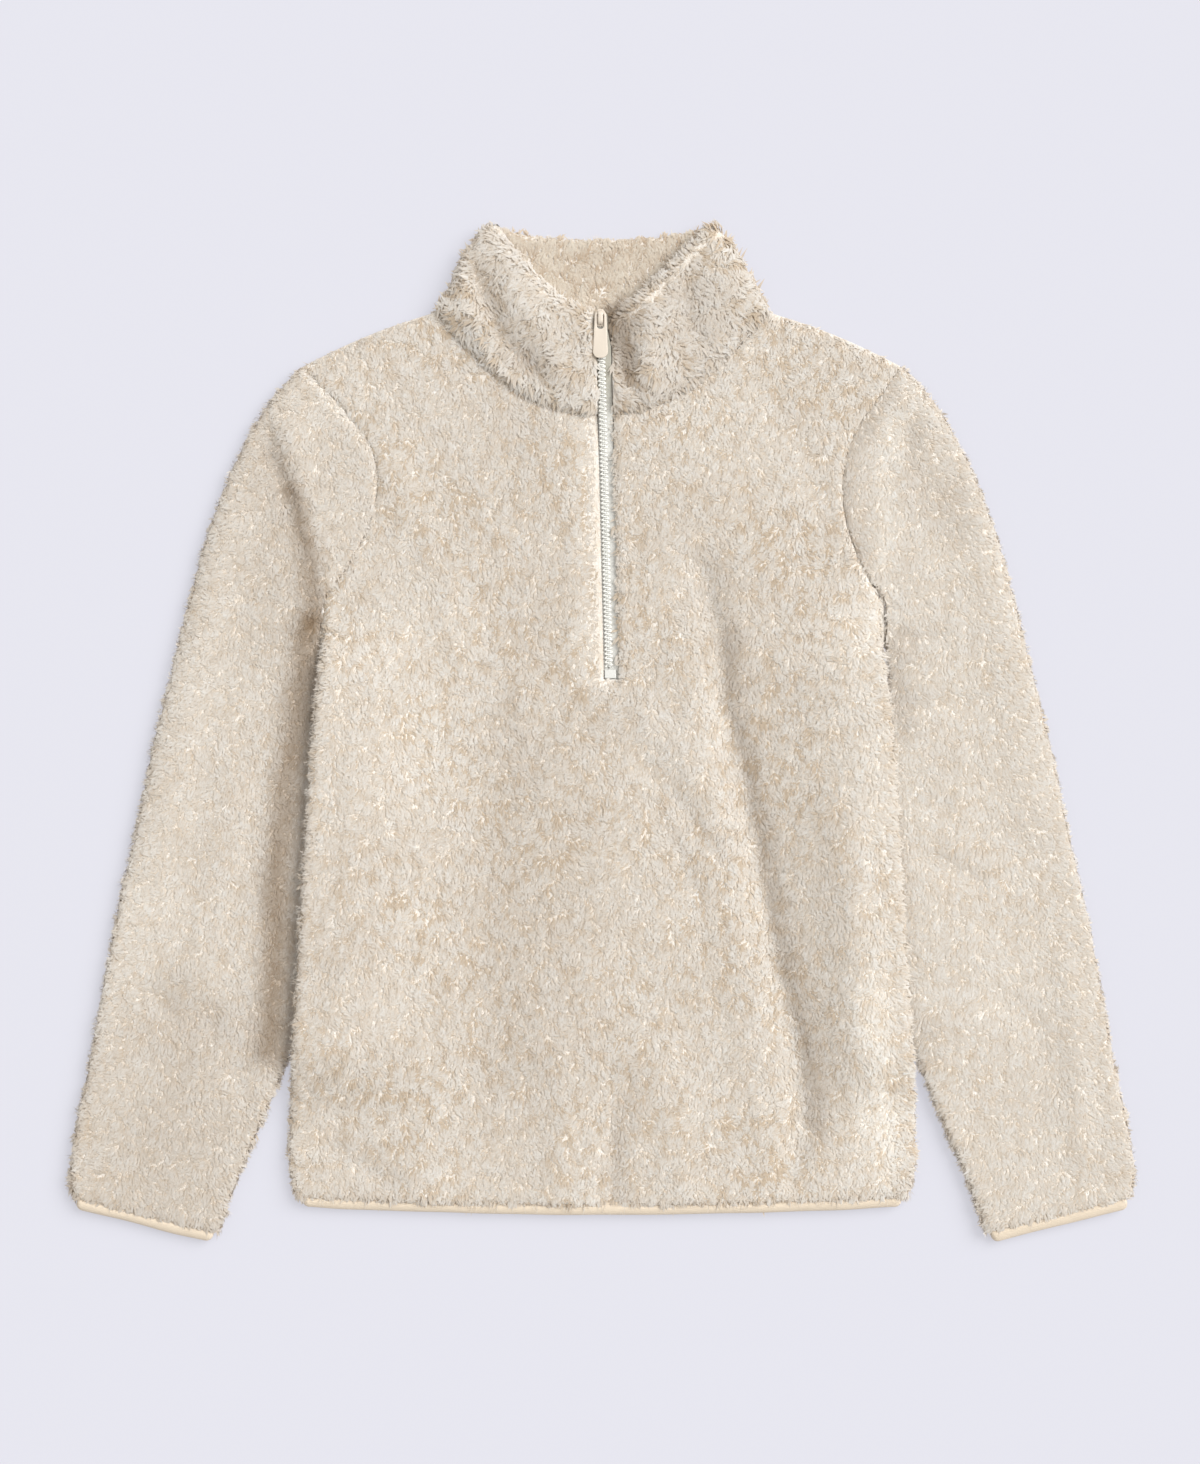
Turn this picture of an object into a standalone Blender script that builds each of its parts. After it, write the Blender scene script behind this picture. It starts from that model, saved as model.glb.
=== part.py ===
"""Sherpa fleece half-zip pullover, laid flat on its back with the sleeves down.

Lengths below are in millimetres and become metres in solid_object().
+X runs across the body to the wearer's left sleeve, +Y runs up to the collar, and +Z points
up out of the surface that the pullover lies on. The origin is the middle of that footprint.

The fleece is a knit ground with a deep pile. Each fleece wall here is the whole cloth, from
the ground to the tips of the pile. The collar is the same cloth folded double.
"""

import bpy
import numpy as np

MM = 0.001

# Cloth and seams
GAP = 0.3  # between two pieces at a seam, or lying on each other
PLY = 6.2  # one fleece layer: ground and pile
TUBE_GAP = 0.8  # between the upper and lower layer of a flattened sleeve or collar
MID = PLY + GAP / 2  # height of the plane between the front and the back
SLEEVE_HALF_PLY = (2 * MID - TUBE_GAP) / 4
COLLAR_HALF_PLY = 4.7  # two thicknesses of fleece, back to back
SEAM_PINCH = 0.6  # share of the loft that is left at a sewn seam
SEAM_SIDE = 0.45  # space along X or Y at a slanting seam, so that it is GAP across it
SEAM_REACH = 8.0  # distance from a seam to full loft
EDGE_WALL = 0.14  # share of the loft left at a folded edge

# Body
NECK_HALF = 119.5
NECK_TOP = 302.0
NECK_DROP = 74.0
NECK_POWER = 2.15
BACK_NECK_DROP = 24.0
SHOULDER_HALF = 214.0
SHOULDER_TIP = 263.5
SHOULDER_BOW = 3.0
ARMPIT = 95.0
HEM_END = 208.0
HEM_LOW = -346.0
HEM_RISE = 5.4  # the hem's ends lie this much higher than its middle

BODY_SIDE = np.array([
    # y,    half width
    (-340, 212.0),
    (-332, 219.0),
    (-320, 222.0),
    (-264, 222.2),
    (-192, 218.5),
    (-120, 213.9),
    (-48, 209.2),
    (24, 203.6),
    (66, 199.4),
    (ARMPIT, 199.1),
])

ARMHOLE = np.array([
    # y,    x on the right, x on the left of the wearer
    (ARMPIT, 199.1, 199.1),
    (115, 185.5, 189.0),
    (140, 171.0, 178.5),
    (165, 162.5, 172.8),
    (188, 160.8, 173.5),
    (208, 166.5, 178.0),
    (226, 179.5, 187.5),
    (244, 195.5, 200.5),
    (SHOULDER_TIP, SHOULDER_HALF, SHOULDER_HALF),
])

# The sleeves' inner edges run under the body's sides, which ride up over them.
LIFT = 10.8
LIFT_TOP = (92.0, 36.0)  # y where the sides begin to rise, and are up
LIFT_LOW = (-276.0, -224.0)
LIFT_INNER = {  # x where the rise begins, at LIFT_LOW and at LIFT_TOP
    -1: (118.0, 104.0),
    1: (150.0, 84.0),
}

# Sleeves
SLEEVE_OUTER = np.array([
    # y,    x
    (-333.5, 378.5),
    (-322, 380.9),
    (-293, 378.2),
    (-235, 366.6),
    (-178, 356.4),
    (-120, 345.2),
    (-63, 332.3),
    (-5, 320.2),
    (53, 305.8),
    (110, 291.2),
    (139, 283.3),
    (168, 272.9),
    (197, 260.6),
    (225, 245.4),
    (244, 232.2),
    (SHOULDER_TIP, SHOULDER_HALF),
])
SLEEVE_INNER = np.array([
    # y,    x
    (-358.5, 276.5),
    (-336, 268.9),
    (-293, 251.3),
    (-250, 233.3),
    (-222, 221.5),
    (-180, 204.0),
    (-130, 191.0),
    (-80, 187.0),
    (-30, 190.0),
    (6, 199.5),
    (36, 205.2),
    (66, 202.4),
    (ARMPIT, 200.3),
    (115, 186.3),
])
SLEEVE_PRESSED = 0.76  # share of its loft that a sleeve keeps under the body
CAP_RISE = 3.0  # the sleeve head rides up beside the armpit and drops at a crease
CAP_CREASE = ((-239.0, 222.0), (-203.0, 104.0))  # on the wearer's right; mirrored for the left

# Collar
COLLAR_FOLD = np.array([
    # y,    x
    (NECK_TOP, NECK_HALF),
    (314, 112.6),
    (334, 102.0),
    (350, 92.8),
    (364.5, 81.0),
])
COLLAR_FRONT_TOP = np.array([
    # x,   y
    (0, 302.5),
    (8, 303.6),
    (17, 306.5),
    (28, 313.0),
    (40, 324.0),
    (52, 336.5),
    (65, 350.5),
    (81.0, 364.5),
])
COLLAR_BACK_DIP = 10.5  # the back of the collar's top edge sags between its corners

# Zip: the coil leans a little, and the opening shows more tape on the wearer's left of it
ZIP_TOP = (-1.1, 299.9)
ZIP_END = (4.9, 46.0)
OPENING = (3.6, 7.4)  # from the coil's centre to the fleece's edge, on the right and on the left
OPENING_AT_SLIDER = 1.4  # the slider holds the edges this much further apart
TAPE_THICK = 0.8
TAPE_TUCK = 9.0  # the fleece edge lies on this much tape, up to where the tape starts to rise
TAPE_CLEAR = 1.1  # the fleece's underside rises this much over the tape
TAPE_FOOT = 30.0
TAPE_NARROWS = (182.0, 196.0)
COIL_HALF = 2.8
COIL_HEIGHT = 2.0
STOP = {"middle": (6.0, 42.3), "half": (4.1, 3.1), "tall": 2.6}
SLIT_END = 38.5
TAPE_LOW = MID + GAP / 2 + TAPE_THICK / 2
TAPE_HIGH = 14.7
ZIP_CLIMB = (200.0, 262.0)  # the zip rises from the front onto the collar

# Slider and pull
SLIDER = {"half": 4.3, "low": 290.5, "high": 303.0, "plate": 1.3}
POST_HALF, POST_DEEP = 1.5, 2.4
CROWN = {"half": 1.75, "low": 290.6, "high": 303.2, "tall": 3.7, "bar": 1.2, "leg": 1.6}
PULL_AXIS = (-1.1, 299.5, 20.1)
PULL_REACH = 31.7
PULL_HALF = 5.4
PULL_THICK = 1.6
PULL_SLOT = (2.7, 10.8)  # half width, and its end's distance from the axis
PULL_SOFT = 0.35  # cut off its edges

# Binding: a folded elastic tape over the raw edge of the hem and cuffs
BIND_DEEP = 7.2
BIND_HALF = 1.7
BIND_GROOVE = (0.9, 4.6)  # half width and depth
TONGUE_HALF = 0.6  # the fleece's ground, shorn of pile, goes into the groove
TONGUE_DEEP = 4.0
BIND_RADIUS = BIND_HALF + GAP / 2
BIND_INSET = 6.0  # the binding turns back this far inside the fleece's side
HEM_TURN = 212.0  # the hem's binding turns back this far from the middle

# Columns and rows of the cloth's grids
HEM_LOFT = 0.55  # share of the loft left where the fleece goes into a binding
EDGE_STEPS = np.array((0, 0.9, 2.8, 6.5))  # columns this far in from a folded edge
SLIT_STEPS = np.array((14.5, 13.0, 6.0, 2.2, 0))  # and this far from the zip opening
HEM_STEPS = np.array((0.5, 2.6, 7.0))  # rows this far above the fleece's lower edge
TOP_STEPS = np.array((9.0, 5.0, 2.0, 0))  # and this far below the shoulder and neck
BACK_CENTRE_STEPS = np.array((0.0,))
OUTER_COLUMNS, FRONT_COLUMNS, BACK_COLUMNS = 4, 5, 6
LOW_ROWS, HIGH_ROWS = 14, 7
BACK_SHIFT = 4.0  # the back starts to rise this much later, so that it stays under the front
SLEEVE_LONG = 530.0  # along the middle of the flattened tube
SLEEVE_TURN = 0.052  # share of the sleeve's width in which its inner edge turns under
SLEEVE_ROWS = 16
SLEEVE_LEAN = 1.35  # above 1, rows meet the inner edge higher up
SLEEVE_BEND = 3.0  # how suddenly rows bend to the armhole's curve
SLEEVE_HEAD_STEPS = np.array((50.8, 24.0, 9.0, 5.0, 2.0, 0)) / SLEEVE_LONG  # the first meets the armpit
CUFF_STEPS = HEM_STEPS / SLEEVE_LONG
TURN_STEPS = 3  # columns round a folded edge
COLLAR_TALL = 72.0
COLLAR_ROWS = (0, 0.03, 0.08, 0.16, 0.3, 0.48, 0.66, 0.82, 0.935, 0.975, 1.0)
COLLAR_CLIMB, COLLAR_CLIMB_OVER = 3.5, 24.0  # the collar's front rises this much off its seam
ZIP_STEP = 12.0  # between sections of the zip's strips

# Soft folds: ridges (+) and troughs (-) on the upper faces, by ends, height and half width
BODY_FOLDS = np.array([
    # x1,   y1,   x2,   y2, height, spread
    (98, 96, 150, -268, -2.6, 17),
    (-118, 60, -128, -300, 1.6, 34),
    (12, -262, 7, -336, -2.0, 9),
    (-32, -250, -30, -336, 1.5, 13),
    (44, -240, 62, -330, 1.5, 15),
    (28, 20, 92, -70, 1.2, 16),
    (-50, 34, -58, 6, 1.4, 12),
    (-196, -300, -150, -322, -1.2, 9),
])
SLEEVE_FOLDS = {
    -1: np.array([
        # x1,   y1,   x2,   y2, height, spread
        (-242, 218, -224, 176, -1.6, 12),
        (-318, -190, -280, -212, -1.5, 11),
        (-262, -248, -256, -268, -1.2, 9),
    ]),
    1: np.array([
        (222, 222, 212, 176, 1.8, 9),
        (206, 88, 238, 80, -1.4, 8),
        (206, 22, 256, 14, -1.6, 8),
        (208, -52, 240, -58, -1.3, 8),
        (216, -88, 268, -104, -1.5, 9),
        (330, -170, 338, -204, 1.3, 9),
    ]),
}
COLLAR_FOLDS = np.array([
    # x1,   y1,   x2,   y2, height, spread
    (-86, 334, -46, 262, -2.2, 9),
    (-62, 330, -30, 282, 1.2, 12),
    (64, 322, 60, 284, -1.2, 12),
    (18, 292, 22, 262, -2.4, 9),
])

# The row through the armpits sags at the middle, so that the row below it meets the slit's end.
HEM_FULL = HEM_LOW + BIND_DEEP + GAP + HEM_STEPS[-1]
WAIST_SAG = ARMPIT - HEM_FULL - (SLIT_END - HEM_FULL) * LOW_ROWS / (LOW_ROWS - 1)

FLEECE = (0.78, 0.68, 0.55)
BINDING = (0.80, 0.70, 0.57)
TAPE = (0.86, 0.85, 0.82)
COIL = (0.84, 0.84, 0.83)
ENAMEL = (0.80, 0.73, 0.65)


def smooth(low, high, at):
    """0 up to low, 1 from high on, and a soft S between them."""
    share = np.clip((at - low) / (high - low), 0, 1)
    return share * share * (3 - 2 * share)


def through(table, at, column=1):
    """A smooth curve through a table's rows: cubic pieces whose slopes are the rows' own."""
    knots, values = table[:, 0], table[:, column]
    slopes = np.gradient(values, knots)
    at = np.clip(at, knots[0], knots[-1])
    i = np.clip(np.searchsorted(knots, at) - 1, 0, len(knots) - 2)
    span = knots[i + 1] - knots[i]
    t = (at - knots[i]) / span
    start = (2 * t**3 - 3 * t**2 + 1) * values[i] + (t**3 - 2 * t**2 + t) * span * slopes[i]
    end = (3 * t**2 - 2 * t**3) * values[i + 1] + (t**3 - t**2) * span * slopes[i + 1]
    return start + end


def rounded(distance, radius):
    """A quarter circle's height, from 0 at an edge to 1 at the radius."""
    return np.sqrt(1 - (1 - np.clip(distance / radius, 0, 1)) ** 2)


def pinched(distance):
    """The share of the loft that a seam leaves at some distance from it."""
    return SEAM_PINCH + (1 - SEAM_PINCH) * rounded(distance, SEAM_REACH)


def folds(table, x, y):
    """Soft ridges and troughs: a bell's height across each line, fading past its ends."""
    height = np.zeros(np.broadcast(x, y).shape)
    for x1, y1, x2, y2, tall, spread in table:
        along = np.array((x2 - x1, y2 - y1))
        t = ((x - x1) * along[0] + (y - y1) * along[1]) / (along @ along)
        t = np.clip(t, 0, 1)
        away = (x - x1 - t * along[0]) ** 2 + (y - y1 - t * along[1]) ** 2
        height += tall * np.exp(-away / spread**2)
    return height


def hem_line(x):
    """The binding's lower edge: highest at the two side seams."""
    return HEM_LOW + HEM_RISE * (x / HEM_END) ** 2


def neck_line(x, drop):
    """The neckline, a deep power curve between the two shoulders."""
    share = np.clip(np.abs(x) / NECK_HALF, 0, 1)
    return NECK_TOP - drop * (1 - share**NECK_POWER)


def top_line(x, drop):
    """The body's upper edge: the neckline, then the sloping shoulders."""
    share = np.clip((np.abs(x) - NECK_HALF) / (SHOULDER_HALF - NECK_HALF), 0, 1)
    slope = NECK_TOP + (SHOULDER_TIP - NECK_TOP) * share
    slope = slope + SHOULDER_BOW * np.sin(np.pi * share)
    return np.where(np.abs(x) < NECK_HALF, neck_line(x, drop), slope)


def body_edge(y, side):
    """Half width of the body at a height: the side seam, and above it the armhole."""
    armhole = through(ARMHOLE, y, 1 if side < 0 else 2)
    return np.where(y < ARMPIT, through(BODY_SIDE, y), armhole)


def lift(x, y):
    """How far the body rides up over the sleeve that lies under its side."""
    risen = smooth(*LIFT_LOW, y) * (1 - smooth(LIFT_TOP[1], LIFT_TOP[0], y))
    height = np.zeros(np.broadcast(x, y).shape)
    for side, (low, top) in LIFT_INNER.items():
        share = np.clip((y - LIFT_LOW[0]) / (LIFT_TOP[0] - LIFT_LOW[0]), 0, 1)
        inner = low + (top - low) * share
        outer = through(SLEEVE_INNER, y) - 2
        height += np.where(x * side > 0, smooth(inner, np.minimum(outer, 198), np.abs(x)), 0)
    return LIFT * risen * height


def zip_x(y):
    """The coil's centre line, which leans a little across the body."""
    share = (y - ZIP_END[1]) / (ZIP_TOP[1] - ZIP_END[1])
    return ZIP_END[0] + (ZIP_TOP[0] - ZIP_END[0]) * share


def opening_edge(y, side):
    """The fleece's edge beside the zip: a steady distance from the coil, and wider at the slider."""
    apart = OPENING[0 if side < 0 else 1] + OPENING_AT_SLIDER * smooth(278, 288, y)
    return zip_x(y) + side * apart


def facing_out(points, faces):
    """The faces, all turned round if together they enclose a negative volume."""
    volume = 0
    for face in faces:
        first, *rest = points[face]
        volume += sum(first @ np.cross(a, b) for a, b in zip(rest[:-1], rest[1:]))
    return faces if volume > 0 else [face[::-1] for face in faces]


def solid_object(name, points, faces, colour, roughness, metallic=0.0):
    """A named object in metres, with its own material."""
    mesh = bpy.data.meshes.new(name)
    mesh.from_pydata((points * MM).tolist(), [], facing_out(points, faces))
    mesh.update()
    material = bpy.data.materials.new(name)
    material.use_nodes = True
    shader = material.node_tree.nodes["Principled BSDF"]
    shader.inputs["Base Color"].default_value = (*colour, 1)
    shader.inputs["Roughness"].default_value = roughness
    shader.inputs["Metallic"].default_value = metallic
    mesh.materials.append(material)
    obj = bpy.data.objects.new(name, mesh)
    bpy.context.scene.collection.objects.link(obj)
    return obj


def wall_between(outer, inner, wrap=False, hole=None):
    """Points and faces of a closed wall between two grids of points, outer facing up or out.

    The grids are rows by columns. wrap joins the last column to the first, as round a tube.
    hole is true for each cell that is left out, as in a slit. The free edges are closed. Both
    faces split each cell along the same diagonal, so walls that lie on each other fit.
    """
    rows, columns = outer.shape[:2]
    wide = columns if wrap else columns - 1
    solid = np.ones((rows - 1, wide), bool) if hole is None else ~hole
    index = np.arange(rows * columns).reshape(rows, columns)
    under = index + rows * columns
    faces = []

    def is_solid(r, c):
        if wrap:
            c %= wide
        return 0 <= r < rows - 1 and 0 <= c < wide and solid[r, c]

    for r, c in np.argwhere(solid):
        d = (c + 1) % columns
        corner = ((r, c), (r, d), (r + 1, d), (r + 1, c))
        for half in ((0, 1, 2), (0, 2, 3)):
            faces.append([index[corner[k]] for k in half])
            faces.append([under[corner[k]] for k in reversed(half)])
        neighbours = ((r - 1, c), (r, c + 1), (r + 1, c), (r, c - 1))
        for k, beside in enumerate(neighbours):
            if not is_solid(*beside):
                a, b = corner[k], corner[(k + 1) % 4]
                faces.append([index[b], index[a], under[a]])
                faces.append([index[b], under[a], under[b]])
    points = np.concatenate([outer.reshape(-1, 3), inner.reshape(-1, 3)])
    used, renumbered = np.unique(faces, return_inverse=True)
    return points[used], renumbered.reshape(-1, 3).tolist()


def body_grid(side, drop, centre_steps, inner_columns):
    """Plan points of half a body panel, as rows from the hem by columns from side to centre.

    The first two rows are the tongue that goes into the binding. Each column runs straight
    up from the hem to the shoulder or neck, and each row runs from side to centre. The front
    and the back share all their rows up to the armpits.
    """
    hem_end = hem_line(HEM_END) + BIND_DEEP + GAP

    def columns(y_side, y_centre):
        edge = body_edge(y_side, side)
        middle = side * opening_edge(y_centre, side) if drop == NECK_DROP else 0.0
        outer = np.linspace(edge - EDGE_STEPS[-1], NECK_HALF, OUTER_COLUMNS + 1)[1:]
        inner = np.linspace(NECK_HALF, middle + centre_steps[0], inner_columns + 1)[1:-1]
        return np.concatenate([edge - EDGE_STEPS, outer, inner, middle + centre_steps])

    bottom_y = hem_line(np.minimum(columns(hem_end, hem_end), HEM_END)) + BIND_DEEP + GAP
    waist_y = ARMPIT - WAIST_SAG * (1 - (columns(ARMPIT, ARMPIT) / body_edge(ARMPIT, side)) ** 2)
    top_y = top_line(columns(SHOULDER_TIP, NECK_TOP - drop), drop)
    rows = [bottom_y - TONGUE_DEEP, bottom_y - 0.02]
    rows += [bottom_y + step for step in HEM_STEPS]
    for floor, ceiling, count in (
        (rows[-1], waist_y, LOW_ROWS),
        (waist_y, top_y - TOP_STEPS[0], HIGH_ROWS),
    ):
        rows += [floor + (ceiling - floor) * share for share in np.linspace(0, 1, count + 1)[1:]]
    rows += [top_y - step for step in TOP_STEPS[1:]]
    y = np.array(rows)
    x = np.array([columns(row[0], row[-1]) for row in y])
    for tongue in range(2):
        shrink = (x[2, 0] - BIND_INSET - x[2, -1]) / (x[2, 0] - x[2, -1])
        x[tongue] = x[2, -1] + (x[2] - x[2, -1]) * shrink
    return side * x, y


def body_loft(side, x, y):
    """Shares of the loft that half a panel keeps at its folded edges and at its seams."""
    edge = body_edge(y[:, :1], side)
    in_from_side = np.abs(edge - np.abs(x[:, :1])) + np.abs(np.abs(x[:, :1]) - np.abs(x))
    below_top = y[-1] - y
    shoulder = np.abs(x[-1]) > NECK_HALF + 0.5
    below_armpit = y[:, :1] < ARMPIT
    side_fold = np.where(below_armpit, np.maximum(EDGE_WALL, rounded(in_from_side, EDGE_STEPS[-1])), 1)
    top_fold = np.where(shoulder, np.maximum(EDGE_WALL, rounded(below_top, TOP_STEPS[0])), 1)
    hem_fold = HEM_LOFT + (1 - HEM_LOFT) * rounded(y - y[1], HEM_STEPS[-1])
    fold = np.minimum(np.minimum(side_fold, top_fold), hem_fold)
    side_seam = np.where(below_armpit, 1, pinched(in_from_side))
    neck_seam = np.where(shoulder, 1, pinched(below_top))
    return fold, np.minimum(side_seam, neck_seam)


def front_panel():
    """The front: a wall over the back, slit down its middle for the zip."""
    parts = []
    for side in (-1, 1):
        x, y = body_grid(side, NECK_DROP, SLIT_STEPS, FRONT_COLUMNS)
        fold, seam = body_loft(side, x, y)
        from_slit = np.abs(x - opening_edge(y, side))
        seam = np.where(y > SLIT_END - 1, np.minimum(seam, pinched(from_slit)), seam)
        parts.append((x, y, fold, seam, from_slit))
    x, y, fold, seam, from_slit = (
        np.concatenate([right, left[:, ::-1]], axis=1) for right, left in zip(*parts)
    )
    floor = MID + GAP / 2 + lift(x, y)
    over_tape = (from_slit < TAPE_TUCK + 5) & (y > TAPE_FOOT - 25) & (np.abs(x) < 30)
    relief = folds(BODY_FOLDS, x, y) * smooth(EDGE_WALL, 1, fold)
    under = floor + np.where(over_tape, TAPE_CLEAR, np.maximum(relief, 0))
    upper = floor + PLY * np.minimum(fold, seam) + relief
    tongue = MID + BIND_RADIUS
    upper[:2], under[:2] = tongue + TONGUE_HALF, tongue - TONGUE_HALF
    hole = np.zeros((len(y) - 1, x.shape[1] - 1), bool)
    middle = x.shape[1] // 2 - 1
    hole[:, middle] = y[:-1, middle] > SLIT_END - 1
    outer, inner = (np.stack([x, y, z], axis=-1) for z in (upper, under))
    return solid_object("front_panel", *wall_between(outer, inner, hole=hole), FLEECE, 0.95)


def back_panel():
    """The back: the wall that the pullover lies on, flat underneath but for its rolled edges."""
    parts = []
    for side in (-1, 1):
        x, y = body_grid(side, BACK_NECK_DROP, BACK_CENTRE_STEPS, BACK_COLUMNS)
        parts.append((x, y, *body_loft(side, x, y)))
    x, y, fold, seam = (
        np.concatenate([right, left[:, -2::-1]], axis=1) for right, left in zip(*parts)
    )
    under = PLY * (1 - fold) + lift(np.sign(x) * np.maximum(np.abs(x) - BACK_SHIFT, 0), y)
    upper = under + PLY * np.minimum(fold, seam)
    tongue = MID - BIND_RADIUS
    upper[:2], under[:2] = tongue + TONGUE_HALF, tongue - TONGUE_HALF
    outer, inner = (np.stack([x, y, z], axis=-1) for z in (upper, under))
    return solid_object("back_panel", *wall_between(outer, inner), FLEECE, 0.95)


def half_turn(centre_up, centre_low, edge, heights, steps, inner_least=0.3):
    """Points round a folded edge, from the upper layer to the lower one, on both faces.

    A half circle in height, and half an ellipse in plan that reaches from the two layers'
    last points to the edge. heights are, row by row, the outer face's top and bottom and
    the inner face's top and bottom.
    """
    top, bottom, inner_top, inner_bottom = (np.asarray(h)[:, None] for h in heights)
    angle = np.linspace(np.pi / 2, -np.pi / 2, steps + 2)[1:-1][None, :]
    centre = np.where((angle > 0)[..., None], centre_up[:, None], centre_low[:, None])
    reach = edge[:, None] - centre
    share = np.maximum((inner_top - inner_bottom) / (top - bottom), inner_least / 6)
    faces = []
    for high, low, part in ((top, bottom, 1), (inner_top, inner_bottom, share)):
        plan = centre + reach * (part * np.cos(angle))[..., None]
        z = (high + low) / 2 + (high - low) / 2 * np.sin(angle)
        faces.append(np.concatenate([plan, z[..., None]], axis=-1))
    return faces


def armhole_points(side):
    """The armhole's corner points on the front and back panels, from shoulder tip to armpit."""
    x, y = body_grid(side, BACK_NECK_DROP, BACK_CENTRE_STEPS, BACK_COLUMNS)
    above = y[:, 0] > ARMPIT - 0.5
    return np.abs(x[above, 0])[::-1], y[above, 0][::-1]


def sleeve_plan(side, across, along):
    """Plan points of a flattened sleeve, by its share across and its share from cuff to armhole.

    Rows run straight from the outer edge to the inner edge, and bend more and more towards
    the armhole's curve as they come near it.
    """
    hole_x, hole_y = armhole_points(side)
    u, v = across[None, :, None], along[:, None, None]

    def on(table, share):
        y = table[0, 0] + (table[-1, 0] - table[0, 0]) * share
        return np.stack([through(table, y), y], axis=-1)[:, None]

    inner_share = 1 - (1 - along) ** SLEEVE_LEAN
    plan = (1 - u) * on(SLEEVE_OUTER, along) + u * on(SLEEVE_INNER, inner_share)
    y = SHOULDER_TIP + (SLEEVE_INNER[-1, 0] - SHOULDER_TIP) * across
    head = np.stack([np.interp(y, hole_y[::-1], hole_x[::-1]), y], axis=-1)[None]
    plan = plan + v**SLEEVE_BEND * (head - plan[-1:])
    plan[..., 0] += SEAM_SIDE * smooth(0.6, 1, along)[:, None]
    return plan


def cap_rise(side, x, y, from_armhole):
    """The sleeve head's rise, between the armhole seam and a crease that runs beside it."""
    (x1, y1), (x2, y2) = CAP_CREASE
    x1, x2 = abs(x1), abs(x2)
    length = np.hypot(x2 - x1, y2 - y1)
    past = ((x - x1) * (y2 - y1) - (y - y1) * (x2 - x1)) / length
    ends = smooth(y2 - 40, y2 + 6, y) * (1 - smooth(y1 - 6, y1 + 26, y))
    share = 1.0 if side < 0 else 0.6
    return share * CAP_RISE * smooth(-3, 6, past) * smooth(0, 14, from_armhole) * ends


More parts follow.
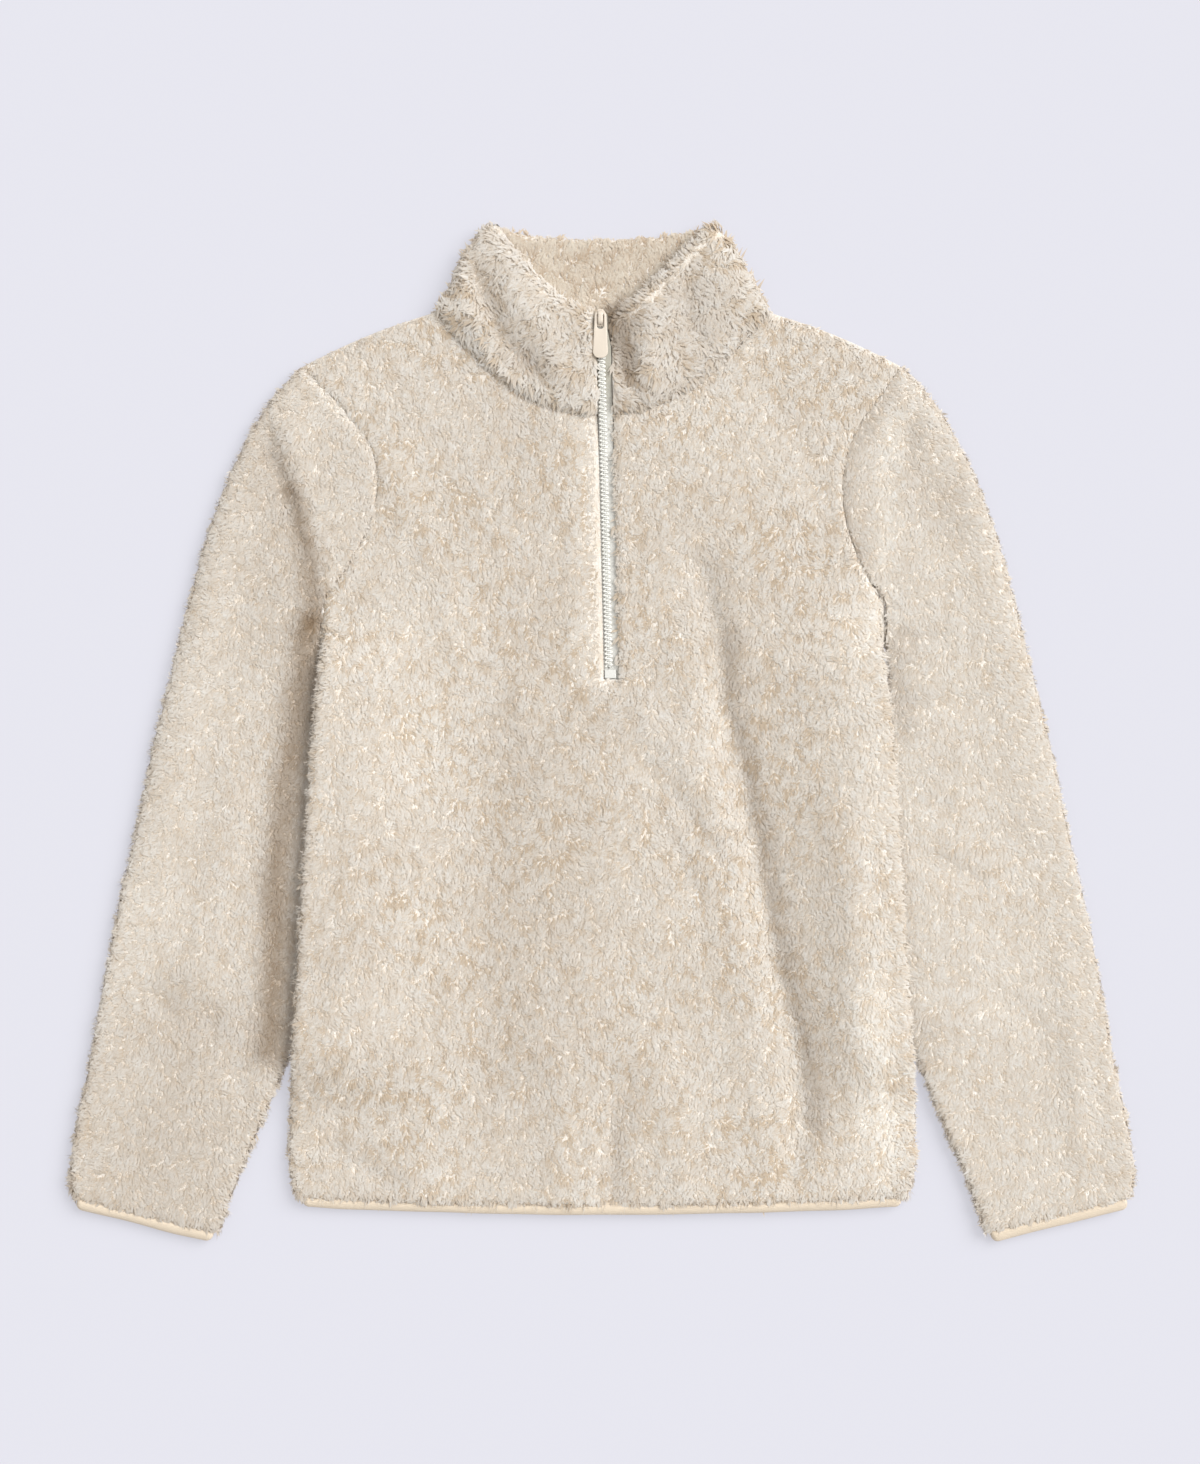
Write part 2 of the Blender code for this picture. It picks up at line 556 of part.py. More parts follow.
def sleeve(side):
    """A sleeve laid flat: one tube, open at the cuff and the armhole, in two layers."""
    name = "sleeve_right" if side < 0 else "sleeve_left"
    hole_y = armhole_points(side)[1]
    corners = (SHOULDER_TIP - hole_y[3:-2]) / (SHOULDER_TIP - SLEEVE_INNER[-1, 0])
    across = np.concatenate([corners, [1 - SLEEVE_TURN]])
    fine = np.sort(np.concatenate([across, (across[1:] + across[:-1]) / 2]))
    rows = np.linspace(CUFF_STEPS[-1], 1 - SLEEVE_HEAD_STEPS[0], SLEEVE_ROWS)
    along = np.concatenate([[0, 0.0001], CUFF_STEPS[:-1], rows, 1 - SLEEVE_HEAD_STEPS[1:]])
    run = {name: sleeve_plan(side, share, along) for name, share in (("up", fine), ("low", across))}
    edges = sleeve_plan(side, np.array((0.0, 1.0)), along)
    cuff_way = edges[0, 1] - edges[0, 0]
    cuff_way = cuff_way / np.hypot(*cuff_way)
    down = np.array((-cuff_way[1], cuff_way[0]))
    down = down if down[1] < 0 else -down
    for tongue in range(2):
        # The tongue is drawn in at its two ends, and the first row goes down into the binding.
        ends = np.array((edges[0, 0] + cuff_way * BIND_INSET, edges[0, 1] - cuff_way * BIND_INSET))
        depth = down * (TONGUE_DEEP if tongue == 0 else 0)
        for grid, shares in ((run["up"], fine), (run["low"], across)):
            part = (shares - shares[0]) / (shares[-1] - shares[0])
            grid[tongue] = ends[0] + (ends[1] - ends[0]) * part[:, None] + depth
        turn = cuff_way * (BIND_RADIUS + TONGUE_HALF)
        edges[tongue] = np.array((ends[0] - turn, ends[1] + turn)) + depth

    def heights(plan):
        """The outer face's top and bottom, and the hollow's top and bottom."""
        x, y = plan[..., 0], plan[..., 1]
        v = along.reshape(-1, *([1] * (x.ndim - 1)))
        from_armhole = (1 - v) * SLEEVE_LONG
        fold = HEM_LOFT + (1 - HEM_LOFT) * rounded(v, CUFF_STEPS[-1])
        thick = 2 * SLEEVE_HALF_PLY * np.minimum(fold, pinched(from_armhole))
        bottom = 2 * SLEEVE_HALF_PLY * (1 - fold) + 0 * x
        free = smooth(3, 26, x - body_edge(np.minimum(y, ARMPIT - 1), side))
        here = smooth(*LIFT_LOW, y) * (1 - smooth(LIFT_TOP[1], LIFT_TOP[0], y))
        press = 1 - (1 - SLEEVE_PRESSED) * (1 - free) * here
        relief = folds(SLEEVE_FOLDS[side], side * x, y) + cap_rise(side, x, y, from_armhole)
        relief = relief * smooth(0, 0.05, v) * press * free
        under = (MID + TUBE_GAP / 2) * press + np.maximum(relief, 0)
        top = (MID + TUBE_GAP / 2 + thick) * press + relief
        low = (bottom * press, (bottom + thick) * press)
        found = [top, low[0], under, low[1]]
        for i, level in enumerate((1, -1, 1, -1)):
            half = TONGUE_HALF if i < 2 else -TONGUE_HALF
            found[i][:2] = MID + level * (BIND_RADIUS + half)
        return found

    up, low = heights(run["up"]), heights(run["low"])
    outer = [np.dstack([run["up"], up[0]])]
    inner = [np.dstack([run["up"], up[2]])]
    low_outer, low_inner = np.dstack([run["low"], low[1]]), np.dstack([run["low"], low[3]])
    for end, reverse in ((-1, 1), (0, -1)):
        levels = (up[0][:, end], low[1][:, end], up[2][:, end], low[3][:, end])
        turned = half_turn(run["up"][:, end], run["low"][:, end], edges[:, end], levels, TURN_STEPS)
        if end == -1:
            outer += [turned[0], low_outer[:, ::-1]]
            inner += [turned[1], low_inner[:, ::-1]]
        else:
            outer.append(turned[0][:, ::-1])
            inner.append(turned[1][:, ::-1])
    outer, inner = np.concatenate(outer, axis=1), np.concatenate(inner, axis=1)
    outer[..., 0] *= side
    inner[..., 0] *= side
    solid_object(name, *wall_between(outer, inner, wrap=True), FLEECE, 0.95)
    ends = np.array((run["up"][1, 0], run["up"][1, -1])) * (side, 1)
    return ends, down * (side, 1)


def binding(name, ends, down, bow, steps):
    """A folded tape round a flattened opening, as a ring with a groove for the fleece's edge.

    The ring runs along the upper layer's edge, turns back at one end, runs along the lower
    layer's and turns again. ends are where it starts to turn, down points out of the cloth,
    and bow gives how far a point at each share of the run is moved along down.
    """
    share = np.linspace(0, 1, steps)
    angle = np.linspace(np.pi / 2, -np.pi / 2, TURN_STEPS + 2)[1:-1]
    way = (ends[1] - ends[0]) / np.hypot(*(ends[1] - ends[0]))
    plan = ends[0] + (ends[1] - ends[0]) * share[:, None] + down * bow(share)[:, None]
    path, out = [], []
    for first, points, level in ((-1, plan, 1), (0, plan[::-1], -1)):
        run = np.column_stack([points, np.full(steps, MID + level * BIND_RADIUS)])
        path.append(run)
        out.append(np.tile((0, 0, level), (steps, 1)))
        turn = np.column_stack([
            np.outer(np.cos(angle), way * level), np.sin(angle) * level
        ])
        path.append(np.append(plan[first], MID) + BIND_RADIUS * turn)
        out.append(turn)
    path, out = np.concatenate(path), np.concatenate(out)
    slot, slot_deep = BIND_GROOVE
    section = np.array([
        # out,        depth below the fleece's edge
        (BIND_HALF, GAP),
        (BIND_HALF, BIND_DEEP - 1.1),
        (BIND_HALF * 0.6, BIND_DEEP - 0.1),
        (0, BIND_DEEP + GAP),
        (-BIND_HALF * 0.6, BIND_DEEP - 0.1),
        (-BIND_HALF, BIND_DEEP - 1.1),
        (-BIND_HALF, GAP),
        (-slot, GAP),
        (-slot, slot_deep + GAP),
        (slot, slot_deep + GAP),
        (slot, GAP),
    ])
    points = path[:, None] + out[:, None] * section[None, :, :1]
    points = points + np.append(down, 0) * section[None, :, 1:]
    return solid_object(name, *closed_ring(points), BINDING, 0.8)


def closed_ring(points):
    """Points and faces of a ring: rows of closed sections, the last row joined to the first."""
    rows, columns = points.shape[:2]
    index = np.arange(rows * columns).reshape(rows, columns)
    onward, beside = np.roll(index, -1, axis=0), np.roll(index, -1, axis=1)
    across = np.roll(onward, -1, axis=1)
    faces = np.stack([index, beside, across, onward], axis=-1).reshape(-1, 4)
    return points.reshape(-1, 3), faces.tolist()


def bar(points):
    """Points and faces of a bar: rows of closed sections, with its two ends closed flat."""
    rows, columns = points.shape[:2]
    index = np.arange(rows * columns).reshape(rows, columns)
    beside = np.roll(index, -1, axis=1)
    faces = np.stack([index[:-1], beside[:-1], beside[1:], index[1:]], axis=-1).reshape(-1, 4)
    ends = [index[0][::-1].tolist(), index[-1].tolist()]
    return points.reshape(-1, 3), faces.tolist() + ends


def collar_seam(side, drop, steps, columns):
    """The neckline's corner points on a panel, from its middle to the shoulder."""
    x, y = body_grid(side, drop, steps, columns)
    inside = np.abs(x[-1]) < NECK_HALF + 0.5
    return side * x[-1][inside][::-1], y[-1][inside][::-1]


def collar():
    """The stand collar: a doubled band, folded flat at both sides and open at the zip."""
    rows = np.array(COLLAR_ROWS)[:, None]
    full = COLLAR_HALF_PLY * pinched(rows * COLLAR_TALL)
    rim = np.maximum(EDGE_WALL, rounded((1 - rows) * COLLAR_TALL, COLLAR_HALF_PLY))
    fold_y = COLLAR_FOLD[0, 0] + (COLLAR_FOLD[-1, 0] - COLLAR_FOLD[0, 0]) * rows
    fold_x = through(COLLAR_FOLD, fold_y)
    back_x, back_y = collar_seam(1, BACK_NECK_DROP, BACK_CENTRE_STEPS, BACK_COLUMNS)
    back_full = COLLAR_FOLD[-1, 0] - COLLAR_BACK_DIP

    def back_plan(x_low):
        """Plan points of the back, up from points x_low on its seam."""
        share = x_low / NECK_HALF
        low = np.interp(np.abs(x_low), back_x, back_y) + SEAM_SIDE
        high = back_full + COLLAR_BACK_DIP * np.abs(share) ** 2.6
        return share * fold_x, low + (high - low) * rows

    def back_top(x, y):
        """Height of the back's inner face under a point of the front."""
        share = np.clip(np.abs(x) / NECK_HALF, 0, 1)
        low = np.interp(np.abs(x), back_x, back_y)
        high = back_full + COLLAR_BACK_DIP * share**2.6
        up = (y - low) / (high - low)
        return np.where(up < -0.03, 0, 2 * COLLAR_HALF_PLY * pinched(np.maximum(up, 0) * COLLAR_TALL))

    grids = {}
    for side in (-1, 1):
        seam_x, seam_y = collar_seam(side, NECK_DROP, SLIT_STEPS, FRONT_COLUMNS)
        r_low = full + GAP
        centre = NECK_HALF - (full + r_low)[0, 0]
        x_low = np.append(seam_x[seam_x < centre - 2], centre)
        low = np.interp(x_low, seam_x, seam_y) + SEAM_SIDE
        start = seam_x[0]
        share = (x_low - start) / (NECK_HALF - start)
        share_end = (fold_x - full - r_low - start) / (fold_x - start)
        share = share / share[-1] * share_end
        high = through(COLLAR_FRONT_TOP, np.clip(start + (COLLAR_FOLD[-1, 1] - start) * share, 0, 81))
        y = low + (high - low) * rows
        opening = side * opening_edge(y, side)
        x = opening + (fold_x - opening) * share
        floor = MID + GAP / 2 + COLLAR_CLIMB * smooth(0, COLLAR_CLIMB_OVER, rows * COLLAR_TALL)
        under = np.maximum(floor, back_top(x, y) + 2 * GAP)
        relief = folds(COLLAR_FOLDS, side * x, y) * smooth(0, 0.2, rows) * smooth(EDGE_WALL, 1, rim)
        middle = under + full
        half = full * rim * pinched(x - opening)
        grids[side] = {
            "plan": np.dstack([side * x, y]),
            "top": middle + half + relief,
            "under": middle - half,
            "middle": middle[:, -1],
        }
    half = (full * rim)[:, 0]
    low_x = np.append(back_x[back_x < NECK_HALF - 14], NECK_HALF - 12)
    low_x = np.concatenate([-low_x[:0:-1], low_x])
    bx, by = back_plan(low_x[None, :])
    middle_back = full[:, 0]
    for side in (-1, 1):
        grid = grids[side]
        back_end = 0 if side < 0 else -1
        edge = np.dstack([side * fold_x, fold_y + SEAM_SIDE * (1 - rows)])[:, 0]
        levels = (
            grid["middle"] + half,
            middle_back - half,
            grid["middle"] - half,
            middle_back + half,
        )
        up, low = grid["plan"][:, -1], np.dstack([bx, by])[:, back_end]
        grid["turn"] = half_turn(up, low, edge, levels, TURN_STEPS)
    right, left = grids[-1], grids[1]
    back_outer = np.dstack([bx, by, np.broadcast_to((middle_back - half)[:, None], bx.shape)])
    back_inner = np.dstack([bx, by, np.broadcast_to((middle_back + half)[:, None], bx.shape)])
    outer = [np.dstack([right["plan"], right["top"]]), right["turn"][0], back_outer]
    outer += [left["turn"][0][:, ::-1], np.dstack([left["plan"], left["top"]])[:, ::-1]]
    inner = [np.dstack([right["plan"], right["under"]]), right["turn"][1], back_inner]
    inner += [left["turn"][1][:, ::-1], np.dstack([left["plan"], left["under"]])[:, ::-1]]
    outer, inner = np.concatenate(outer, axis=1), np.concatenate(inner, axis=1)
    return solid_object("collar", *wall_between(outer, inner), FLEECE, 0.95)


def zip_rise(y):
    """Height of the tapes' middle."""
    return TAPE_LOW + (TAPE_HIGH - TAPE_LOW) * smooth(*ZIP_CLIMB, y)


def zip_stations(low, high):
    """Heights along the zip at which its strips have a section."""
    return np.linspace(low, high, int(np.ceil((high - low) / ZIP_STEP)) + 1)


def tape(side):
    """One zip tape: a flat strip, tucked under the front and narrower between the collar's ends."""
    y = zip_stations(TAPE_FOOT, ZIP_TOP[1])[:, None]
    tucked = np.abs(opening_edge(y, side) - zip_x(y)) + TAPE_TUCK
    shown = np.abs(opening_edge(y, side) - zip_x(y)) - SEAM_SIDE
    shown = np.where(y > SLIDER["low"] - 14, np.minimum(shown, SLIDER["half"] + 0.6), shown)
    wide = tucked + (shown - tucked) * smooth(*TAPE_NARROWS, y)
    across = np.array(((GAP / 2, 1.0, 1.0, GAP / 2),))
    up = np.array(((-1, -1, 1, 1),)) * TAPE_THICK / 2
    x = zip_x(y) + side * np.where(across == 1, wide, across)
    points = np.dstack([x, np.broadcast_to(y, x.shape), zip_rise(y) + up])
    name = "zip_tape_right" if side < 0 else "zip_tape_left"
    return solid_object(name, *bar(points), TAPE, 0.8)


def coil():
    """The closed coil: one low rounded strip down the middle of the two tapes."""
    y = zip_stations(ZIP_END[1], ZIP_TOP[1])[:, None]
    section = np.array([
        # across, up
        (-1, 0.1),
        (-0.75, 0),
        (0.75, 0),
        (1, 0.1),
        (1, 0.55),
        (0.6, 1),
        (-0.6, 1),
        (-1, 0.55),
    ])
    x = zip_x(y) + COIL_HALF * section[None, :, 0]
    z = zip_rise(y) + TAPE_THICK / 2 + GAP + COIL_HEIGHT * section[None, :, 1]
    points = np.dstack([x, np.broadcast_to(y, x.shape), z])
    return solid_object("zip_coil", *bar(points), COIL, 0.5)


def block(name, low, high, colour=ENAMEL, bevel=0.3, hidden=False):
    """A box between two corners, with its edges bevelled."""
    low, high = np.array(low), np.array(high)
    corner = np.array(((0, 0), (1, 0), (1, 1), (0, 1)))
    points = np.array([[(x, y, z) for x, y in corner] for z in (0, 1)]) * (high - low) + low
    obj = solid_object(name, *bar(points), colour, 0.35)
    if bevel:
        edge = obj.modifiers.new("soft_edges", "BEVEL")
        edge.width = bevel * MM
        edge.segments = 1
        edge.limit_method = "ANGLE"
    if hidden:
        obj.hide_render = True
        obj.display_type = "WIRE"
    return obj


def combine(obj, other, operation):
    modifier = obj.modifiers.new(operation.lower(), "BOOLEAN")
    modifier.object = other
    modifier.operation = operation
    modifier.solver = "EXACT"


def slider():
    """The slider: two plates joined by a post between the tapes, and a crown that traps the pull."""
    x = PULL_AXIS[0]
    low, high, half, plate = (SLIDER[k] for k in ("low", "high", "half", "plate"))
    under = TAPE_HIGH - TAPE_THICK / 2 - GAP
    over = TAPE_HIGH + TAPE_THICK / 2 + 2 * GAP + COIL_HEIGHT
    top = over + plate
    body = block("zip_slider", (x - half, low, over), (x + half, high, top))
    base = block("slider_base", (x - half, low, under - plate), (x + half, high, under), hidden=True)
    post = block(
        "slider_post",
        (x - POST_HALF, high - POST_DEEP, under - 0.6),
        (x + POST_HALF, high - 0.8, over + 0.5),
        bevel=0,
        hidden=True,
    )
    wide, tall, leg = CROWN["half"], CROWN["tall"], CROWN["leg"]
    crown = block(
        "slider_crown",
        (x - wide, CROWN["low"] + 0.5, top - 0.6),
        (x + wide, CROWN["high"] - 0.6, top + tall),
        bevel=0,
        hidden=True,
    )
    window = block(
        "crown_window",
        (x - 2 * wide, CROWN["low"] + leg, top + 0.1),
        (x + 2 * wide, CROWN["high"] - 0.4 - leg, top + tall - CROWN["bar"]),
        bevel=0,
        hidden=True,
    )
    for other in (base, post, crown):
        combine(body, other, "UNION")
    combine(body, window, "DIFFERENCE")
    return body


def rounded_outline(half, low, high, radius, steps=4):
    """A rectangle about x = 0 from y = low to y = high, with round corners, anticlockwise."""
    points = []
    for k, (cx, cy) in enumerate(((1, 1), (-1, 1), (-1, 0), (1, 0))):
        angle = (k + np.linspace(0, 1, steps + 1)) * np.pi / 2
        middle = np.array((cx * (half - radius), high - radius if cy else low + radius))
        points.append(middle + radius * np.column_stack([np.cos(angle), np.sin(angle)]))
    return np.concatenate(points)


def pull():
    """The pull tab: a flat loop whose short bar passes under the slider's crown."""
    bar_half = PULL_THICK / 2
    half, (slot, slot_end) = PULL_HALF, PULL_SLOT
    rim = rounded_outline(half, -PULL_REACH, bar_half, 2.4)
    hole = rounded_outline(slot, -slot_end, -bar_half, 1.2)
    flat = bar_half - PULL_SOFT
    section = []
    # The section runs up the rim and down the hole, with its four corners cut.
    for outline, inset, levels in (
        (rim, PULL_SOFT, (-bar_half, -flat, flat, bar_half)),
        (hole, -PULL_SOFT, (bar_half, flat, -flat, -bar_half)),
    ):
        middle = np.array((0, outline[:, 1].mean()))
        soft = outline - np.sign(outline - middle) * inset
        for level in levels:
            plan = outline if abs(level) < bar_half else soft
            section.append(np.column_stack([plan, np.full(len(plan), level)]))
    points, faces = closed_ring(np.stack(section, axis=1))
    obj = solid_object("zip_pull", points, faces, ENAMEL, 0.35)
    obj.location = np.array(PULL_AXIS) * MM
    return obj


def stop():
    """The bottom stop, a small block over the ends of the two tapes."""
    (x, y), (wide, deep) = STOP["middle"], STOP["half"]
    floor = TAPE_LOW + TAPE_THICK / 2 + GAP
    top = floor + STOP["tall"]
    return block("zip_stop", (x - wide, y - deep, floor), (x + wide, y + deep, top), COIL, bevel=0.4)


def clear_scene():
    for obj in list(bpy.data.objects):
        bpy.data.objects.remove(obj, do_unlink=True)


def main():
    clear_scene()
    front_panel()
    back_panel()
    for side, cuff in ((-1, "cuff_binding_right"), (1, "cuff_binding_left")):
        ends, down = sleeve(side)
        binding(cuff, ends, down, lambda share: 0 * share, 5)
    middle = float(hem_line(0))
    hem_y = middle + BIND_DEEP + GAP
    binding(
        "hem_binding",
        np.array(((-HEM_TURN, hem_y), (HEM_TURN, hem_y))),
        np.array((0.0, -1.0)),
        lambda share: middle - hem_line(np.minimum(np.abs(2 * share - 1) * HEM_TURN, HEM_END)),
        17,
    )
    collar()
    for side in (-1, 1):
        tape(side)
    coil()
    slider()
    pull()
    stop()


if __name__ == "__main__":
    main()
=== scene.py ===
"""Sherpa fleece half-zip pullover, laid flat: cloth, pile, zip and studio stage.

Formulas work in millimetres and meshes are written in metres. +X runs to the wearer's left
sleeve, +Y to the collar and +Z up out of the surface that the pullover lies on.
"""

from functools import partial

import bpy
import numpy as np
from bpy.props import FloatProperty, FloatVectorProperty, IntProperty, PointerProperty
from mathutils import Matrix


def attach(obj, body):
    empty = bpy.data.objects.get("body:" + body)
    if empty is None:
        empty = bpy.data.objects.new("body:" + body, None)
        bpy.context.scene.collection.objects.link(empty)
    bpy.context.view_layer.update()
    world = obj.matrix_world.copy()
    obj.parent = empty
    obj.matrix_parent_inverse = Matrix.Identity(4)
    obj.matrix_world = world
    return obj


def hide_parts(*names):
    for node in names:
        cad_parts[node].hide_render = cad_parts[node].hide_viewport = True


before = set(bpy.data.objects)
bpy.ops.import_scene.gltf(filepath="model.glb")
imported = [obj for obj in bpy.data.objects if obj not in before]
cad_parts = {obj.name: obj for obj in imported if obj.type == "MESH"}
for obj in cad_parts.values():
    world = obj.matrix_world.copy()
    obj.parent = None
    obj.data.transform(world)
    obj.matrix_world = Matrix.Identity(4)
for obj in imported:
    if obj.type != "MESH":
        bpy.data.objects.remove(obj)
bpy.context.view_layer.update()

bl_info = {
    "name": "Sherpa Fleece Pullover",
    "version": (1, 0, 0),
    "blender": (4, 5, 0),
    "location": "View3D > Sidebar > Pullover",
    "description": "Builds a sherpa fleece half-zip pullover, laid flat",
    "category": "Add Mesh",
}

MM = 0.001
BODY = "garment"
SIDES = ((-1, "right"), (1, "left"))  # the sign of X and the name of each of the wearer's sides

# Cloth and seams, as in the construction
GAP = 0.3  # between layers, and at a seam
PLY = 6.2  # one fleece layer, ground and pile
TUBE_GAP = 0.8  # between a sleeve's two layers
MID = PLY + GAP / 2  # height of the middle between the back and the front
SLEEVE_HALF_PLY = (2 * MID - TUBE_GAP) / 4
COLLAR_HALF_PLY = 4.7
SEAM_PINCH = 0.6  # share of the loft that is left at a seam
SEAM_REACH = 8.0  # how far from a seam the loft is whole again
SEAM_SIDE = 0.45  # how far the sewn-on piece stands off its seam line
EDGE_WALL = 0.14  # share of the loft that stands upright at a folded edge
PILE_SHARE = 0.4  # share of the loft that the standing pile takes; the rest is cloth
COLLAR_CLOTH = 1 - PILE_SHARE * 0.5  # the same for the collar, whose pile stands half as high
SIDE_ROUND, TOP_ROUND, HEM_ROUND = 6.5, 9.0, 7.0  # how far in from an edge the cloth is round
LEAST_PLY = 0.4  # thickness of the front where the tapes and creases press it most
FAR = 99.0  # a distance that is out of reach of every edge and seam

NECK_HALF, NECK_TOP, NECK_DROP, NECK_POWER = 119.5, 302.0, 74.0, 2.15
BACK_NECK_DROP = 24.0
SHOULDER_HALF, SHOULDER_TIP, SHOULDER_BOW = 214.0, 263.5, 3.0
ARMPIT = 95.0  # height in plan
HEM_END, HEM_LOW, HEM_RISE = 208.0, -346.0, 5.4
BIND_DEEP = 7.2  # how far the bindings reach in from the edge

BODY_SIDE = np.array([
    # y,    half width
    (-340, 212.0),
    (-332, 219.0),
    (-320, 222.0),
    (-264, 222.2),
    (-192, 218.5),
    (-120, 213.9),
    (-48, 209.2),
    (24, 203.6),
    (66, 199.4),
    (ARMPIT, 199.1),
])
ARMHOLE = np.array([
    # y,    x on the right, x on the left of the wearer
    (ARMPIT, 199.1, 199.1),
    (115, 185.5, 189.0),
    (140, 171.0, 178.5),
    (165, 162.5, 172.8),
    (188, 160.8, 173.5),
    (208, 166.5, 178.0),
    (226, 179.5, 187.5),
    (244, 195.5, 200.5),
    (SHOULDER_TIP, SHOULDER_HALF, SHOULDER_HALF),
])
# How far the body rides up over the sleeves, the heights between which that fades at its top and
# low ends, how far from the middle it starts on each side at the low end and the top, and how far
# out it is whole
LIFT = 10.8
LIFT_TOP = (92.0, 36.0)
LIFT_LOW = (-276.0, -224.0)
LIFT_INNER = {-1: (118.0, 104.0), 1: (150.0, 84.0)}
LIFT_OUTER = 198.0
BACK_BEHIND = 4.0  # how much farther out the back is lifted than the front
SLEEVE_OUTER = np.array([
    # y,    x
    (-333.5, 378.5),
    (-322, 380.9),
    (-293, 378.2),
    (-235, 366.6),
    (-178, 356.4),
    (-120, 345.2),
    (-63, 332.3),
    (-5, 320.2),
    (53, 305.8),
    (110, 291.2),
    (139, 283.3),
    (168, 272.9),
    (197, 260.6),
    (225, 245.4),
    (244, 232.2),
    (SHOULDER_TIP, SHOULDER_HALF),
])
SLEEVE_INNER = np.array([
    # y,    x
    (-358.5, 276.5),
    (-336, 268.9),
    (-293, 251.3),
    (-250, 233.3),
    (-222, 221.5),
    (-180, 204.0),
    (-130, 191.0),
    (-80, 187.0),
    (-30, 190.0),
    (6, 199.5),
    (36, 205.2),
    (66, 202.4),
    (ARMPIT, 200.3),
    (115, 186.3),
])
SLEEVE_LONG = 530.0
SLEEVE_LEAN, SLEEVE_BEND = 1.35, 3.0  # powers that space a sleeve's rows, and bend them to the armhole
SLEEVE_PRESSED = 0.76  # share of its height that a sleeve keeps under the body
PRESS_ENDS = (3.0, 26.0)  # how far out of the body's side the pressing starts to end, and ends
SLEEVE_FLOOR = 0.9  # room for the pile under a sleeve
SLEEVE_LEAST = 0.6  # least thickness of a sleeve's upper layer
SLEEVE_WALL = 2.0  # how far in from the tube's folds its inside starts
CAP_RISE = {-1: 3.0, 1: 3.0 * 0.6}
CAP_CREASE = ((239.0, 222.0), (203.0, 104.0))
COLLAR_TALL = 72.0
COLLAR_TURN = 9.0  # how far in from the collar's folds its faces are round
COLLAR_FOLD = np.array([
    # y,    x
    (NECK_TOP, NECK_HALF),
    (314, 112.6),
    (334, 102.0),
    (350, 92.8),
    (364.5, 81.0),
])
COLLAR_FRONT_TOP = np.array([
    # x,   y
    (0, 302.5),
    (8, 303.6),
    (17, 306.5),
    (28, 313.0),
    (40, 324.0),
    (52, 336.5),
    (65, 350.5),
    (81.0, 364.5),
])
COLLAR_BACK_DIP, DIP_POWER = 10.5, 2.6  # of the back's top edge between the folds
COLLAR_CLIMB, COLLAR_CLIMB_OVER = 3.5, 24.0  # how far the ends ride up, and over what height
COLLAR_BASE_DROP = 2.1  # how much lower the collar's outer face is at its seam
COLLAR_IN = 6.0  # how far the collar's inside lies in from its folds
INNER_OFF = 0.2  # least distance of the collar's inside from the middle height of its folds

# A seam's welt: its radius, how far its top lies under the cloth's face, and its tint, which is
# painted shade along the seam
SEAM_RADIUS, SEAM_UNDER, SEAM_SHADE = 1.1, 0.9, -1.5
# The roll of cloth below each armpit: its radius, how far down it goes, and its tint, a little
# lighter, which is painted light
SIDE_RADIUS, SIDE_LONG, SIDE_LIGHT = 2.3, 48.0, 0.4
# A binding's roll: half its thickness, and how far inside the opening its upper edge is tucked
ROLL_HALF, TUCK = 3.3, -3.5
# The hem roll's half length, and how far in from a sleeve's sides its cuff's roll starts
HEM_ROLL_END, CUFF_ROLL_END = 215.0, 2.0
CUFF_REACH = BIND_DEEP + 0.8  # how far a cuff's roll reaches below the sleeve's edge
# The topstitch: from stitch to stitch, half a stitch's length, and the thread's radius
STITCH_PACE, STITCH_HALF, THREAD = 3.1, 1.2, 0.24
STITCH_END = 226.0
NECK_SEAM_Y = 232.0  # height in plan at which the neck seam meets the zip

# Zip: the ends of the coil's middle line in plan, and what lies beside it
ZIP_TOP, ZIP_END = (-1.1, 299.9), (4.9, 46.0)
OPENING = {-1: 3.6, 1: 7.4}  # from the coil's middle to the fleece on each side
OPENING_AT_SLIDER, NEAR_SLIDER = 1.4, (278.0, 288.0)
SLIT_END = 38.5
STRIP = 4.0  # the wearer's right edge is folded smooth and topstitched this far from the zip
TAPE_THICK = 0.8
TAPE_LOW, TAPE_HIGH = MID + GAP / 2 + TAPE_THICK / 2, 14.7
TAPE_HALF, TAPE_FOOT = 14.0, 5.0  # how far out and how far down the front leaves room for the tapes
TAPE_CLEAR = 1.1  # height of that room
ZIP_CLIMB = (200.0, 262.0)  # heights in plan between which the tapes climb onto the collar

# The coil's turns, from its middle line: how far out their middle is and how far they swing to each
# side, how high over the tape their middle is and how far they swing up and down, and their slant
TURN_OUT, TURN_SWING = 1.15, 1.45
TURN_HIGH, TURN_RISE = 1.45, 0.62
TURN_SLANT = 0.42
TURN_STEPS = 8
CORE_OUT, CORE_HIGH, CORE_RADIUS = 1.3, 0.9, 0.55

# The slider's ends in plan, its plates' thickness and the room between them and over the tapes, its
# crown's half width, its wire's half thickness and how high it arches, and the pull's sizes
SLIDER = (290.5, 303.0)
PLATE_THICK, PLATE_ROOM = 1.3, 2.0
CROWN_HALF, CROWN_WIRE, CROWN_RISE = 1.75, 0.62, 2.9
SQUARED = 0.6  # power that turns a circle into a round-cornered square
PULL_AXIS = (-1.1, 299.5, 20.1)
PULL_REACH, PULL_HALF, PULL_THICK = 31.7, 5.4, 1.6

# The floor's half width, and how far it lies under the pullover
FLOOR_HALF, FLOOR_UNDER = 4000.0, 0.4
